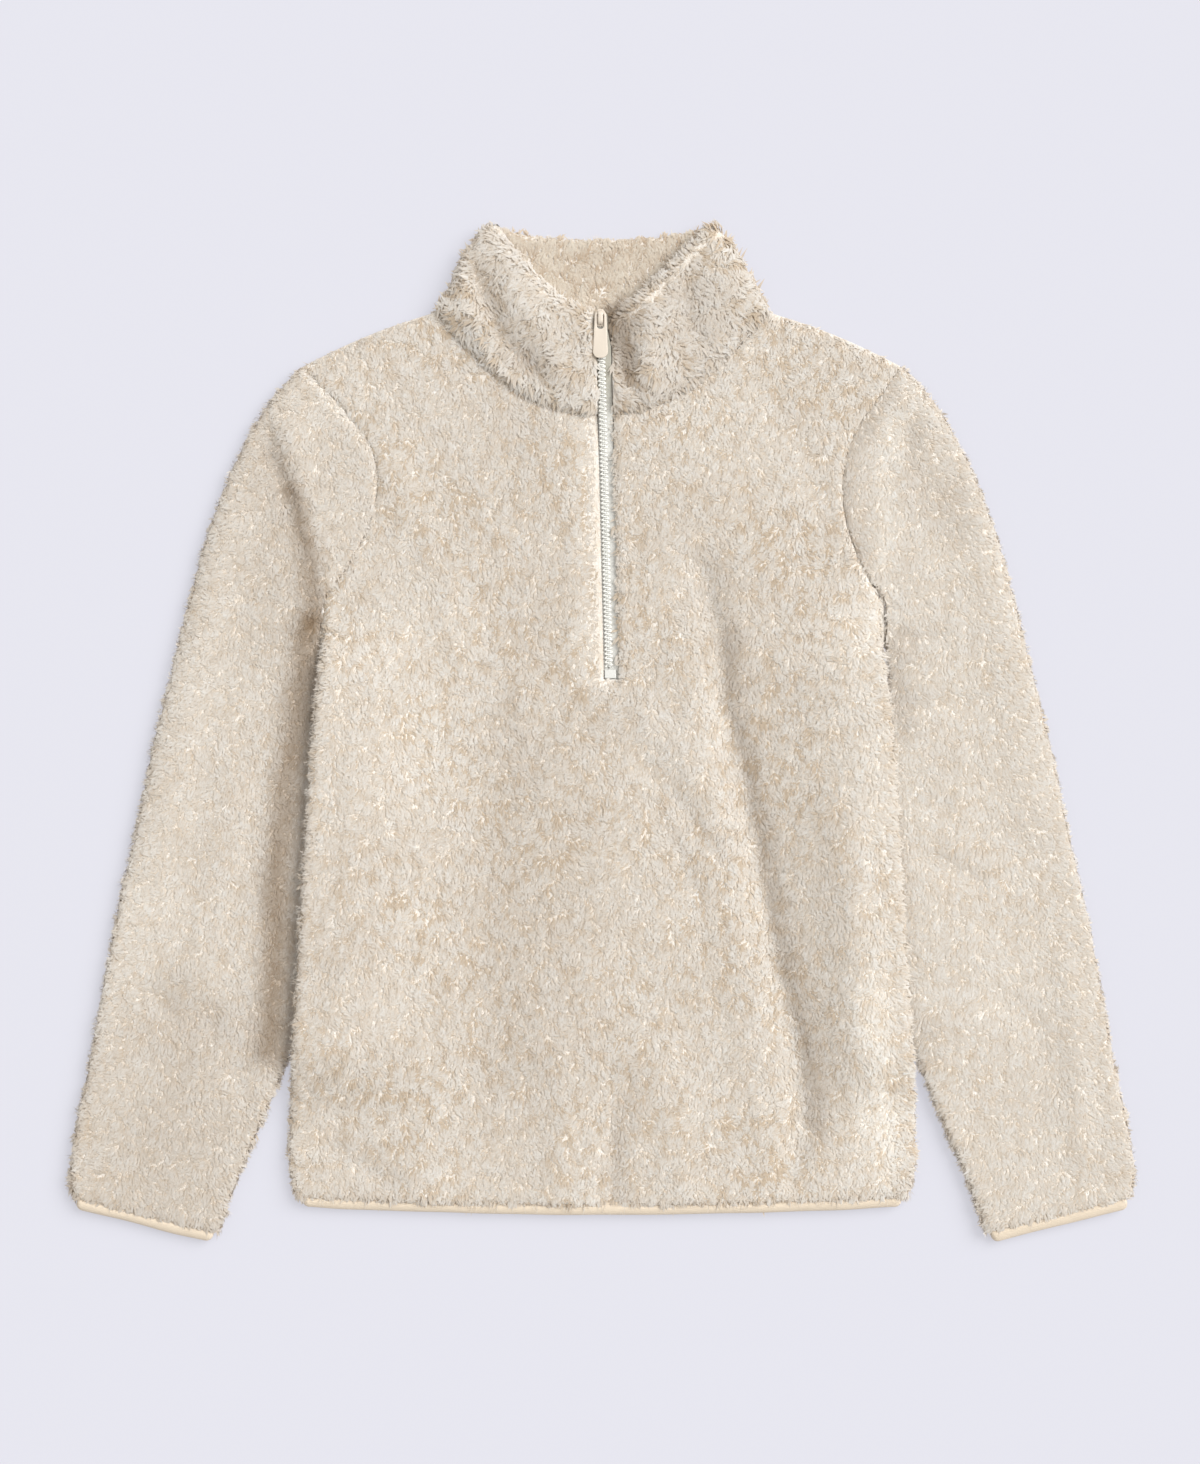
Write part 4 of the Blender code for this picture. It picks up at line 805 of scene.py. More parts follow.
def tube(path, radius, around):
    """Points and faces of a round tube: a circle carried along a path of points."""
    way = np.gradient(path, axis=0)
    way = way / np.linalg.norm(way, axis=1, keepdims=True)
    across = np.cross(way, (0.0, 0.0, 1.0))
    across = across / np.maximum(np.linalg.norm(across, axis=1, keepdims=True), 1e-6)
    up = np.cross(across, way)
    angle = np.linspace(0, 2 * np.pi, around, endpoint=False)
    cos, sin = np.cos(angle)[None, :, None], np.sin(angle)[None, :, None]
    return loft(path[:, None] + radius * (cos * across[:, None] + sin * up[:, None]))


def loft(sections, closed=False):
    """Points and faces of a skin over rows of closed sections, its ends shut with fans of quads."""
    rows, columns = sections.shape[:2]
    index = np.arange(rows * columns).reshape(rows, columns)
    index = np.concatenate([index, index[:1]]) if closed else index
    beside = np.roll(index, -1, axis=1)
    quads = np.stack([index[:-1], beside[:-1], beside[1:], index[1:]], axis=-1).reshape(-1, 4)
    points = sections.reshape(-1, 3)
    if closed:
        return outward(points, quads)
    caps = []
    half = columns // 2
    for row, turned in ((0, True), (rows - 1, False)):
        for k in range(half - 1):
            cap = [row * columns + i for i in (k, k + 1, columns - 2 - k, columns - 1 - k)]
            caps.append(cap[::-1] if turned else cap)
    return outward(points, np.concatenate([quads, np.array(caps)]))


def outline(half, low, high, low_round, high_round, taper=0.0):
    """A rectangle about x = 0 with round corners, anticlockwise, and narrower towards its top.

    It narrows by its taper, a share of its width, over its last 8 mm.
    """
    points = []
    for k, (side, up) in enumerate(((1, 1), (-1, 1), (-1, 0), (1, 0))):
        radius = high_round if up else low_round
        angle = (k + np.linspace(0, 1, CORNER_STEPS)) * np.pi / 2
        middle = np.array((side * (half - radius), high - radius if up else low + radius))
        points.append(middle + radius * np.column_stack([np.cos(angle), np.sin(angle)]))
    points = np.concatenate(points)
    points[:, 0] *= 1 - taper * smooth(high - 8, high, points[:, 1])
    return points


def squared(values):
    """A circle's cosines or sines, drawn out towards a square's."""
    return np.sign(values) * np.abs(values) ** SQUARED


def slab(edge, floor, top, soft):
    """Points and faces of a plate with rounded rims: its outline drawn in a little at both faces."""
    middle = edge.mean(axis=0)
    sections = []
    for level, turns in ((floor + soft, (-90, 0)), (top - soft, (0, 90))):
        for turn in np.radians(np.linspace(*turns, RIM_STEPS)):
            inset = soft * (1 - np.cos(turn))
            plan = middle + (edge - middle) * (1 - inset / np.abs(edge - middle).max(axis=0))
            sections.append(np.column_stack([plan, np.full(len(plan), level + soft * np.sin(turn))]))
    return loft(np.stack(sections))


def roll(path, down, reach):
    """Points and faces of a rolled binding: egg-shaped sections along the edge of an opening.

    Each section goes from a little inside the opening to the fold that lies reach below its edge.
    It is thickest near the fold, and draws in at both ends of the path like a round corner.
    """
    step = np.hypot(*np.diff(path, axis=0).T)
    far = np.concatenate([[0], np.cumsum(step)])
    from_end = np.minimum(far, far[-1] - far)[:, None]
    turn = np.linspace(0, 2 * np.pi, ROLL_STEPS, endpoint=False)[None]
    reach = reach + 0.3 * ripple(path[:, :1], path[:, 1:], 70, 41)
    fold = TUCK + (reach - TUCK) * (0.55 + 0.45 * rounded(from_end, 5.0))
    depth = TUCK + (fold - TUCK) * (1 - np.cos(turn)) / 2
    height = ROLL_HALF * np.sin(turn) * (0.6 + 0.4 * smooth(-1, 3.5, depth))
    height = height * folded(from_end, 3.5)
    plan = path[:, None] + depth[..., None] * down
    return loft(np.dstack([plan, MID + height]))


def join(parts):
    """One set of points and faces from several."""
    points, faces, base = [], [], 0
    for some, more in parts:
        points.append(some)
        faces.append(more + base)
        base += len(some)
    return np.concatenate(points), np.concatenate(faces)


# --- pile -----------------------------------------------------------------------------------

# A hair (0), and a lock of pile with one bend or two, in its own directions: at each row the share
# of its length along it, of its rise above the cloth, of its curl to the side, and of its width
LOCKS = {
    0: ((0.0, -0.1, 0.0, 0), (0.5, 1.0, 0.8, 1.0), (1.0, 1.2, -0.4, 0)),
    1: ((0.0, -0.1, 0.0, 0), (0.45, 1.0, 0.7, 1.0), (1.0, 0.35, -0.5, 0)),
    2: ((0.0, -0.1, 0.0, 0), (0.32, 0.9, 0.7, 1.0), (0.7, 0.95, 0.3, 0.8), (1.0, 0.35, -0.6, 0)),
}
RIDGE = 0.16  # a lock's ridge stands this share of its width above its sides
HAIR, HAIR_SEED = 0.4, 200  # width of a hair, and the first seed of the hairs
BRINK, BRINK_HAIRS = 5.0, 4  # how far in from an edge there are more hairs, and how many times more
SLEEVE_GAP_SHADE = 0.4  # share of the painted shade between clumps that the sleeves show
SEEN_UNDER = 16.0  # how far in from its edges a hidden layer has pile
INSIDE_LOW = 292.0  # height in plan from which the collar's inside shows
LEAST_HIGH = 0.25  # of the pile above the floor
CLUMP_TALL = 1.6  # how much longer a clump is down the cloth than across
CLUMP_BORDER = (0.42, 0.74)  # shares of the way out from a clump's middle between which it darkens with painted shade
EDGE_SOFT = 1.6  # how far the shading of the pile on a steep edge turns to face up
# How far the colour is from root to tip at a lock's root, sides, ridge and tip, and along a hair. The
# dark roots and sides are painted shade among the locks, and the lighter ridge is painted light.
GLOW_ROOT, GLOW_SIDE, GLOW_RIDGE, GLOW_TIP, GLOW_HAIR = 0.2, 0.5, 0.76, 0.72, 0.6
SPREAD = (0.7, 1.3)  # shares of the usual length and width between which locks vary
# Steps of the sequence that spreads roots in a cell, one over the plastic number and over its
# square, and how far each root is shaken
ROOT_STEPS, ROOT_SHAKE = (0.7548776662, 0.5698402910), 0.06


def unit(vectors):
    """Vectors of length 1 with the same directions."""
    return vectors / np.maximum(np.linalg.norm(vectors, axis=-1, keepdims=True), 1e-9)


def normals_of(grid, up):
    """Unit normals of a grid of points: the cross product of its two slopes, turned to face up."""
    normal = np.cross(np.gradient(grid, axis=1), np.gradient(grid, axis=0))
    return unit(normal) * np.sign(up * normal[..., 2].sum())


def scatter(grid, density, up, seed, hole=None):
    """Roots spread over a grid: points and the grid's normals there.

    A cell gets roots by its area times its density. Inside it they follow a low-discrepancy
    sequence, so they are even but in no rows. A density of 0 or a hole leaves a cell bare.
    """
    corner = (grid[:-1, :-1], grid[:-1, 1:], grid[1:, 1:], grid[1:, :-1])
    area = 0.5 * np.linalg.norm(np.cross(corner[2] - corner[0], corner[3] - corner[1]), axis=-1)
    dense = np.broadcast_to(density, grid.shape[:2])
    dense = (dense[:-1, :-1] + dense[:-1, 1:] + dense[1:, 1:] + dense[1:, :-1]) / 4
    if hole is not None:
        dense = dense * ~hole
    ends = np.cumsum((area * dense).ravel())
    k = np.arange(int(ends[-1]))
    cell = np.searchsorted(ends, k + 0.5)
    draw = np.random.default_rng(seed)
    shake = [draw.uniform(-ROOT_SHAKE, ROOT_SHAKE, len(k)) for _ in ROOT_STEPS]
    s, t = (((0.5 + k * step + by) % 1)[:, None] for step, by in zip(ROOT_STEPS, shake))
    r, c = np.divmod(cell, grid.shape[1] - 1)

    def at(values):
        low = values[r, c] * (1 - s) + values[r, c + 1] * s
        high = values[r + 1, c] * (1 - s) + values[r + 1, c + 1] * s
        return low * (1 - t) + high * t

    return at(grid), unit(at(normals_of(grid, up)))


def clump(x, y, size, seed):
    """The way from each point to its clump's middle, and a number from 0 to 1 for the clump.

    The middles are the points of a square grid, each shaken at random, and the nearest is taken. The
    random numbers are the fractions of a steep sine of the grid point's two numbers.
    """
    column, row = np.floor(x / size), np.floor(y / size)
    least = np.full(x.shape, np.inf)
    pull, number = np.zeros((*x.shape, 2)), np.zeros(x.shape)
    for i in (-1, 0, 1):
        for j in (-1, 0, 1):
            a, b = column + i, row + j
            shake = [np.modf(np.abs(np.sin(a * p + b * q + seed)) * 43758.5453)[0]
                     for p, q in ((12.9898, 78.233), (39.346, 11.135), (73.156, 52.235))]
            to = np.stack([(a + shake[0]) * size - x, (b + shake[1]) * size - y], axis=-1)
            far = np.hypot(*to.T)
            closer = far < least
            least = np.where(closer, far, least)
            pull[closer] = to[closer]
            number = np.where(closer, shake[2], number)
    return pull, number


def locks(root, normal, way, length, rise, wide, tint, look, bends, gaps, seed):
    """Points, triangles, normals and attributes of a field of pile locks, or of hairs.

    Each lock is a small leaf with a raised ridge, and a hair is a thin blade with none. It leaves
    the cloth at its root, arches along way and curls to one side, and its tip leans to the middle
    of its clump. Its normals are the cloth's, turned a little outwards from its ridge, as on a
    soft roll of fibres. On steep edges they also turn up, because light comes through the ends of
    the pile there. Its colour runs from dark at the root to light at the ridge and tip, which is
    painted shade among the locks. gaps is how much darker the pile is at its clumps' borders,
    which is painted shade between the clumps.
    """
    draw = np.random.default_rng(seed)
    count = len(root)
    turn = draw.normal(0, look.scatter, count)[:, None]
    along = way * np.cos(turn) + np.stack([-way[:, 1], way[:, 0]], -1) * np.sin(turn)
    along = np.column_stack([along, np.zeros(count)])
    along = unit(along - normal * np.sum(along * normal, axis=1, keepdims=True))
    beside = np.cross(normal, along)
    length = length * draw.uniform(*SPREAD, count)
    pull, number = clump(root[:, 0], root[:, 1] / CLUMP_TALL, look.clump, seed)
    # Painted shade between the clumps: the pile darkens towards each clump's border
    clump_shade = smooth(*CLUMP_BORDER, np.hypot(*pull.T) / look.clump)
    clump_shade = gaps * clump_shade * (0.7 + 0.3 * ripple(root[:, 0], root[:, 1], 120, 51))
    pull = np.column_stack([pull[:, 0], pull[:, 1] * CLUMP_TALL, np.zeros(count)])
    back = np.minimum(np.sum(pull * along, axis=1) + 0.4 * length / max(look.gather, 0.01), 0)
    pull = pull - along * back[:, None]
    rise = rise * (0.7 + 0.6 * number) * draw.uniform(0.8, 1.2, count)
    curl = look.curl * draw.normal(0, 1, count)
    wide = wide * draw.uniform(*SPREAD, count)
    rows, leans, glow = [], [], []
    for out, high, side, width in LOCKS[bends]:
        middle = root + along * (length * out)[:, None] + beside * (curl * side)[:, None]
        middle = middle + normal * (rise * high)[:, None] + pull * (look.gather * out**2)
        lean = along * (1.1 * out - 0.7)
        half = beside * (wide * width / 2)[:, None]
        if not width:
            rows.append(middle)
            leans.append(lean)
            glow.append(GLOW_TIP if out else GLOW_ROOT)
        elif bends:
            rows += [middle + half, middle + normal * (RIDGE * wide * width)[:, None], middle - half]
            leans += [lean + beside, lean, lean - beside]
            glow += [GLOW_SIDE, GLOW_RIDGE, GLOW_SIDE]
        else:
            rows += [middle + half, middle - half]
            leans += [lean, lean]
            glow += [GLOW_HAIR, GLOW_HAIR]
    points = np.stack(rows, axis=1)
    points[..., 2] = np.maximum(points[..., 2], LEAST_HIGH)
    up = np.sign(normal[:, 2].mean()) * (1 - np.abs(normal[:, 2]))
    soft = normal + np.column_stack([np.zeros(count), np.zeros(count), EDGE_SOFT * up])
    normals = unit(unit(soft)[:, None] + look.relief * np.stack(leans, axis=1))
    last = len(rows) - 1
    faces = [(0, 2, 1), (1, 2, 3)]
    if bends:
        faces = [(0, 3, 2), (0, 2, 1)]
        for k in range(1, last - 3, 3):
            faces += [(k + 2, k + 5, k + 4), (k + 2, k + 4, k + 1)]
            faces += [(k + 1, k + 4, k + 3), (k + 1, k + 3, k)]
        faces += [(last - 1, last, last - 2), (last - 2, last, last - 3)]
    faces = (np.arange(count)[:, None, None] * len(rows) + np.array(faces)[None]).reshape(-1, 3)
    # Painted shade among the locks: the glow is low at the roots and sides, and lower at the clumps'
    # borders
    glow = np.array(glow)[None] + 0.2 * (number[:, None] - 0.5) + draw.normal(0, 0.08, count)[:, None]
    glow = glow - clump_shade[:, None]
    tint = np.repeat(tint, len(rows))
    return points.reshape(-1, 3), faces, normals.reshape(-1, 3), {"glow": glow, "tint": tint}


def heading(angle):
    """Ways in plan at an angle from +X."""
    return np.stack([np.cos(angle), np.sin(angle)], -1)


def leaning(way, share, to):
    """Ways that lean by a share towards another."""
    share = share[:, None]
    return way * (1 - share) + share * np.array(to)


def rising(least, low, high, at):
    """A share that is least up to low and 1 from high on."""
    return least + (1 - least) * smooth(low, high, at)


def body_nap(side, front, x, y):
    """How the pile of the front or back lies: its way in plan, its length and its rise, as shares.

    It runs down the body and wanders, turns out at the folded side, hangs over the hem, and is
    short beside seams. On the wearer's right of the zip it is pressed flat, and on the left it
    stands up beside the zip.
    """
    far = np.abs(x)
    from_edge = body_edge(y, side) - far
    from_side = np.where(y < ARMPIT, from_edge, FAR)
    from_armhole = np.where(y > ARMPIT, from_edge, FAR)
    below_top = top_line(far, NECK_DROP if front else BACK_NECK_DROP) - y
    seam = np.minimum(from_armhole, below_top)
    way = heading(-np.pi / 2 + 0.5 * ripple(x, y, 46, 3) + 0.45 * ripple(x, y, 15, 4))
    way = leaning(way, fade(3, 24, from_side), (side, -0.3))
    way = leaning(way, fade(8, 22, y - hem_line(far)), (0.0, -1.0))
    short = rising(0.7, 0.5, 5, seam) * rising(0.7, 0, 8, from_side)
    rise = rising(0.55, 0.5, 6, seam)
    if front:
        from_slit = np.where(y > SLIT_END - 2, np.abs(x - opening_edge(y, side)), FAR)
        if side < 0:
            short = short * rising(0.55, 5, 16, from_slit)
            rise = rise * rising(0.25, 6, 22, from_slit)
            way = leaning(way, fade(5, 22, from_slit), (-0.95, -0.4))
        else:
            over = fade(1, 9, from_slit)
            way = leaning(way, over, (-0.3, -0.9))
            rise = rise * (1 + 0.8 * over)
            short = 1 - 0.25 * over
    return unit(way), (1 + 0.12 * ripple(x, y, 30, 5)) * short, rise


def nearest(table, points):
    """Index of a table point close to each point: the first in its own 4 mm square, or else 0."""
    def key(at):
        return (np.floor(at[:, 0] / 4) * 4096 + np.floor(at[:, 1] / 4)).astype(int)

    keys, first = np.unique(key(table), return_index=True)
    at = np.clip(np.searchsorted(keys, key(points)), 0, len(keys) - 1)
    return first[at]


def sleeve_distances(grid):
    """How far a sleeve layer's points are from its outer fold, its inner fold and its armhole."""
    return [np.linalg.norm(grid - edge, axis=-1) for edge in (grid[:, :1], grid[:, -1:], grid[-1:])]


def sleeve_nap(side, grid, x, y):
    """How a sleeve's pile lies: down its length, wandering, and turning out at both its folds."""
    near = nearest(grid[..., :2].reshape(-1, 2), np.column_stack([x, y]))
    from_outer, from_inner, from_armhole = (far.ravel()[near] for far in sleeve_distances(grid))
    out, down = side * 0.17, -1.0
    turn = 0.5 * ripple(x, y, 42, 13) + 0.4 * ripple(x, y, 14, 14)
    cos, sin = np.cos(turn), np.sin(turn)
    way = np.stack([out * cos - down * sin, out * sin + down * cos], -1)
    way = leaning(way, fade(4, 55, from_outer), (side, -0.35))
    way = leaning(way, fade(3, 20, from_inner), (-side, -0.6))
    short = rising(0.7, 0.5, 5, from_armhole) * rising(0.65, 0, 8, np.minimum(from_outer, from_inner))
    rise = rising(0.55, 0.5, 6, from_armhole) * (0.7 if side > 0 else 1)
    return unit(way), short * (1 + 0.12 * ripple(x, y, 30, 15)), rise


def collar_nap(side, x, y):
    """How the pile of the collar's ends lies: down, wandering, and along or out over its top edge."""
    far = np.abs(x)
    below = through(COLLAR_FRONT_TOP, far) - y
    above_seam = y - top_line(far, NECK_DROP)
    edge = fade(3, 14, below)
    way = heading(-np.pi / 2 + side * 0.5 + 0.8 * ripple(x, y, 34, 23) + 0.5 * ripple(x, y, 13, 24))
    way = leaning(way, edge, (-0.7, 0.75) if side < 0 else (-0.75, 0.66))
    short = rising(0.45 if side < 0 else 0.6, 0, 7, below) * rising(0.75, 0.5, 6, above_seam)
    return unit(way), short, rising(0.45, 0.5, 7, above_seam) + 0.8 * edge * (side > 0)


def over_back_top(x, y):
    """How far a point is above (+) or below (-) the top edge of the back of the collar, in plan."""
    return y - collar_top(np.minimum(np.abs(x) / COLLAR_FOLD[-1, 1], 1))


def inside_nap(x, y):
    """How the pile inside the collar lies: up, wandering, and shorter and more upright at the top."""
    low = fade(-12, -1, over_back_top(x, y))
    angle = np.pi / 2 + 0.55 * ripple(x, y, 30, 33) + 0.4 * ripple(x, y, 12, 34)
    way = np.stack([np.cos(angle) * (0.4 + 0.6 * low), np.sin(angle)], -1)
    return unit(way), 0.5 + 0.5 * low, 0.8 + 0.2 * low


# --- materials ------------------------------------------------------------------------------


class Maths:
    """A number in a material. Arithmetic on it adds the Math nodes that work it out."""

    def __init__(self, finish, socket):
        self.finish, self.socket = finish, socket

    def _with(self, operation, *values):
        node = self.finish.node("ShaderNodeMath", {"operation": operation}, dict(enumerate(values)))
        return Maths(self.finish, node.outputs[0])

    def __add__(self, other):
        return self._with("ADD", self, other)

    __radd__ = __add__

    def __sub__(self, other):
        return self._with("SUBTRACT", self, other)

    def __rsub__(self, other):
        return self._with("SUBTRACT", other, self)

    def __mul__(self, other):
        return self._with("MULTIPLY", self, other)

    __rmul__ = __mul__

    def clamp(self):
        return self._with("MINIMUM", self._with("MAXIMUM", self, 0.0), 1.0)

class Finish:
    """One material, built up node by node round a Principled BSDF."""

    def __init__(self, name, roughness, **constants):
        self.material = bpy.data.materials.new(name)
        self.material.use_nodes = True
        self.tree = self.material.node_tree
        self.shader = self.tree.nodes["Principled BSDF"]
        self.shader.inputs["Roughness"].default_value = roughness
        for socket, value in constants.items():
            self.shader.inputs[socket.replace("_", " ")].default_value = value

    def node(self, kind, settings=None, inputs=None):
        node = self.tree.nodes.new(kind)
        for key, value in (settings or {}).items():
            setattr(node, key, value)
        for key, value in (inputs or {}).items():
            self.feed(node.inputs[key], value)
        return node

    def feed(self, socket, value):
        if isinstance(value, Maths):
            value = value.socket
        if isinstance(value, bpy.types.NodeSocket):
            self.tree.links.new(value, socket)
        elif isinstance(value, (tuple, list)) and socket.type == "RGBA":
            socket.default_value = (*value[:3], 1)
        else:
            socket.default_value = value

    def attribute(self, name):
        node = self.node("ShaderNodeAttribute", {"attribute_name": name})
        return Maths(self, node.outputs["Fac"])

    def place(self, stretch=(1, 1, 1), turn=0.0):
        """Object coordinates, turned about Z and stretched."""
        where = self.node("ShaderNodeTexCoord").outputs["Object"]
        inputs = {"Vector": where, "Scale": stretch, "Rotation": (0, 0, turn)}
        return self.node("ShaderNodeMapping", {"vector_type": "POINT"}, inputs).outputs[0]

    def across(self, axis):
        """One of the Object coordinates."""
        return Maths(self, self.node("ShaderNodeSeparateXYZ", None, {0: self.place()}).outputs[axis])

    def noise(self, size, stretch=(1, 1, 1), detail=3.0, roughness=0.55, distortion=0.0, turn=0.0):
        """Cloudy noise whose grains are about size metres across."""
        inputs = {"Vector": self.place(stretch, turn), "Scale": 1 / size, "Detail": detail}
        inputs.update({"Roughness": roughness, "Distortion": distortion})
        return Maths(self, self.node("ShaderNodeTexNoise", None, inputs).outputs["Fac"])

    def mix(self, first, second, share):
        node = self.node("ShaderNodeMix", {"data_type": "RGBA"})
        for socket, value in ((0, share), (6, first), (7, second)):
            self.feed(node.inputs[socket], value)
        return node.outputs[2]

    def finish(self, colour, height=None, distance=0.001, through=0.0):
        """Ends the material, with bumps by a height. through is how much light comes through it."""
        self.feed(self.shader.inputs["Base Color"], colour)
        if through:
            thin = self.node("ShaderNodeBsdfTranslucent", None, {"Color": colour})
            inputs = {0: through, 1: self.shader.outputs[0], 2: thin.outputs[0]}
            mixed = self.node("ShaderNodeMixShader", None, inputs)
            self.tree.links.new(mixed.outputs[0], self.tree.nodes["Material Output"].inputs["Surface"])
        if height is not None:
            inputs = {"Height": height, "Distance": distance, "Strength": 1.0}
            bump = self.node("ShaderNodeBump", None, inputs)
            self.feed(self.shader.inputs["Normal"], bump.outputs[0])
        return self.material


# What the pile's colour is multiplied by where its tint is lowest, deeper and warmer as painted shade,
# and highest, paler as painted light, the share between them where it is none, and how much one unit
# of tint adds to that share
SHADED, LIT_AND_PALER = (0.42, 0.34, 0.27), (1.18, 1.205, 1.25)
NEUTRAL, TINT_STEP = 0.75, 0.125


def scaled(colour, factor):
    """A colour times a factor, or times one for each channel."""
    factors = factor if isinstance(factor, tuple) else (factor,) * 3
    return tuple(min(1.0, c * f) for c, f in zip(colour[:3], factors))


def made(name):
    """A material that an earlier step has made."""
    return bpy.data.materials[name]


def fleece_finishes(look):
    """The pile's locks, the cloth under them, and the smoother pile inside the collar.

    The colour goes from dark roots to light tips, which is painted shade among the locks, and on the
    cloth under them from the root colour to the tip colour as its bumps rise. It is then made deeper
    and warmer or paler by the tint: partly the way the nap lies, partly painted shade and painted
    light.
    """
    deep, tip = tuple(look.deep_colour), tuple(look.tip_colour)
    # The collar's inside locks are toned darker: painted shade in the collar's hollow
    inside = tuple(look.inside_shade_tone)
    for name, tone in (("fleece_locks", 1), ("collar_inside_locks", inside), ("fleece_ground", 1)):
        sheen = {"Sheen_Weight": look.sheen, "Sheen_Roughness": 0.6}
        fleece = Finish(name, 0.95, Specular_IOR_Level=0.1, **sheen)
        patch = 0.15 * (fleece.noise(0.05, detail=3.0) - 0.5)
        share = (NEUTRAL + TINT_STEP * fleece.attribute("tint") + patch).clamp()
        height = None
        if name == "fleece_ground":
            fine = fleece.noise(0.0022, (1.0, 0.55, 1.0), 3.0, 0.6, 1.2)
            lumps = fleece.noise(0.007, (1.0, 0.7, 1.0), 2.0, 0.5, 0.8)
            height = 0.6 * fine + 0.6 * lumps
            shade = (1.6 * height - 0.4).clamp()
        else:
            shade = (fleece.attribute("glow") + 0.25 * (fleece.noise(0.012, detail=2.0) - 0.5)).clamp()
        root, end = scaled(deep, tone), scaled(tip, tone)
        # A shaded copy of the colour for painted shade and a lit copy for painted light, mixed by the
        # tint
        dark = fleece.mix(scaled(root, SHADED), scaled(end, SHADED), shade)
        light = fleece.mix(scaled(root, LIT_AND_PALER), scaled(end, LIT_AND_PALER), shade)
        through = 0.0 if height is not None else look.through
        fleece.finish(fleece.mix(dark, light, share), height, 0.002, through=through)


def make_cloth(cloth, grids, node, wrap=False):
    """A cloth piece from its outer and inner grids, with its tint attribute."""
    points, faces = wall(grids["outer"], grids["inner"], wrap, grids.get("hole"))
    tint = {"tint": bells(TINTS[cloth], points[:, 0], points[:, 1])}
    obj = piece(f"{cloth}_cloth", points, faces, made("fleece_ground"), attributes=tint)
    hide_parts(node)


def surface_height(plan):
    """Height of the front cloth's outer face at the point of it that is nearest in plan."""
    flat = panel_sides(True)["outer"].reshape(-1, 3)
    far = (flat[None, :, 0] - plan[:, :1]) ** 2 + (flat[None, :, 1] - plan[:, 1:2]) ** 2
    return flat[np.argmin(far, axis=1), 2]


def panel_sides(front):
    """Both halves of a panel side by side. The back's meet, and the front's are apart at the slit."""
    right, left = panel(-1, front), panel(1, front)
    left = {k: grid[:, ::-1] if front else grid[:, -2::-1] for k, grid in left.items()}
    grids = {k: np.concatenate([right[k], left[k]], axis=1) for k in ("outer", "inner")}
    if not front:
        return grids
    middle = right["outer"].shape[1] - 1
    hole = np.zeros((grids["outer"].shape[0] - 1, grids["outer"].shape[1] - 1), bool)
    hole[:, middle] = right["outer"][:-1, -1, 1] > SLIT_END - 0.5
    grids["hole"] = hole
    return grids


def pile_piece(cloth, part, root, normal, nap, look, size, material, gaps, seed, bends):
    """One piece of a cloth's pile on given roots, with its way, length and rise from its nap.

    size is a lock's length, rise and width, and gaps is how much darker it is between clumps, as
    painted shade.
    """
    way, length, rise = nap
    tint = bells(TINTS[cloth], root[:, 0], root[:, 1])
    shape = (way, size[0] * length, size[1] * rise, size[2], tint, look, bends, gaps, seed)
    points, faces, normals, attributes = locks(root, normal, *shape)
    name = f"{cloth}_{part}"
    obj = piece(name, points, faces, material, attributes=attributes, normals=normals)
    return obj


def body_pile(cover, density):
    """Covers the front, and the back where it shows, each in two halves."""
    for front, cloth in ((True, "front"), (False, "back")):
        grids = panel_sides(front)
        grid, hole, up = grids["outer"], grids.get("hole"), 1 if front else -1
        x, y = grid[..., 0], grid[..., 1]
        low = y - hem_line(np.abs(x))
        for side, wing in SIDES:
            edge = body_edge(y, side) - np.abs(x)
            dense = density * (side * (x - zip_x(y)) >= -0.01)
            if front:
                strip = opening_edge(y, -1) - x
                dense = dense * ~((strip > -0.1) & (strip < STRIP - 0.3) & (y > SLIT_END + 2))
            else:
                dense = dense * ((np.minimum(edge, low) < SEEN_UNDER) & (y < ARMPIT))
            brink = (np.minimum(edge, low - 6) < BRINK) & (y < ARMPIT)
            brink = brink | (top_line(np.abs(x), 0) - y < BRINK)
            nap, seed = partial(body_nap, side, front), 10 + 5 * side + up
            cover(cloth, f"pile_{wing}", grid, dense, nap, brink, seed, up, hole)


def sleeve_pile(cover, density):
    """Covers both layers of the sleeves, where they show."""
    for side, name in SIDES:
        layers = sleeve(side)
        for layer, up in (("upper", 1), ("lower", -1)):
            grid = layers[layer]
            outer, inner, _ = sleeve_distances(grid)
            x, y = np.abs(grid[..., 0]), grid[..., 1]
            dense = density * ~((y < ARMPIT - 8) & (x < side_seam(y) - 3))
            if layer == "lower":
                dense = dense * (np.minimum(outer, inner) < SEEN_UNDER - 2)
            brink = np.minimum(outer, inner) < BRINK
            nap, seed = partial(sleeve_nap, side, grid), 60 + 5 * side + up
            cover(f"sleeve_{name}", f"pile_{layer}", grid, dense, nap, brink, seed, up)


def collar_pile(cover, look):
    """Covers the collar's two front ends with longer locks, and its inside with locks that lie."""
    band = collar()
    tall = (look.length * 1.5, look.rise * 1.8, look.width * 1.1)
    for side, name in SIDES:
        grid = band[name]
        dense = np.full(grid.shape[:2], look.density)
        brink = np.broadcast_to(np.linspace(0, 1, len(grid))[:, None] > 0.9, dense.shape)
        nap, seed = partial(collar_nap, side), 80 + 5 * side
        cover("collar", f"pile_{name}", grid, dense, nap, brink, seed, lock=tall)
    grid = band["back_face"]
    dense = look.density * (grid[..., 1] > INSIDE_LOW)
    brink = over_back_top(grid[..., 0], grid[..., 1]) > -3
    lying = (look.length * 1.2, look.rise, look.width * 1.1)
    inside = made("collar_inside_locks")
    cover("collar", "pile_inside", grid, dense, inside_nap, brink, 95, lock=lying, material=inside)
# --- settings and operators -----------------------------------------------------------------


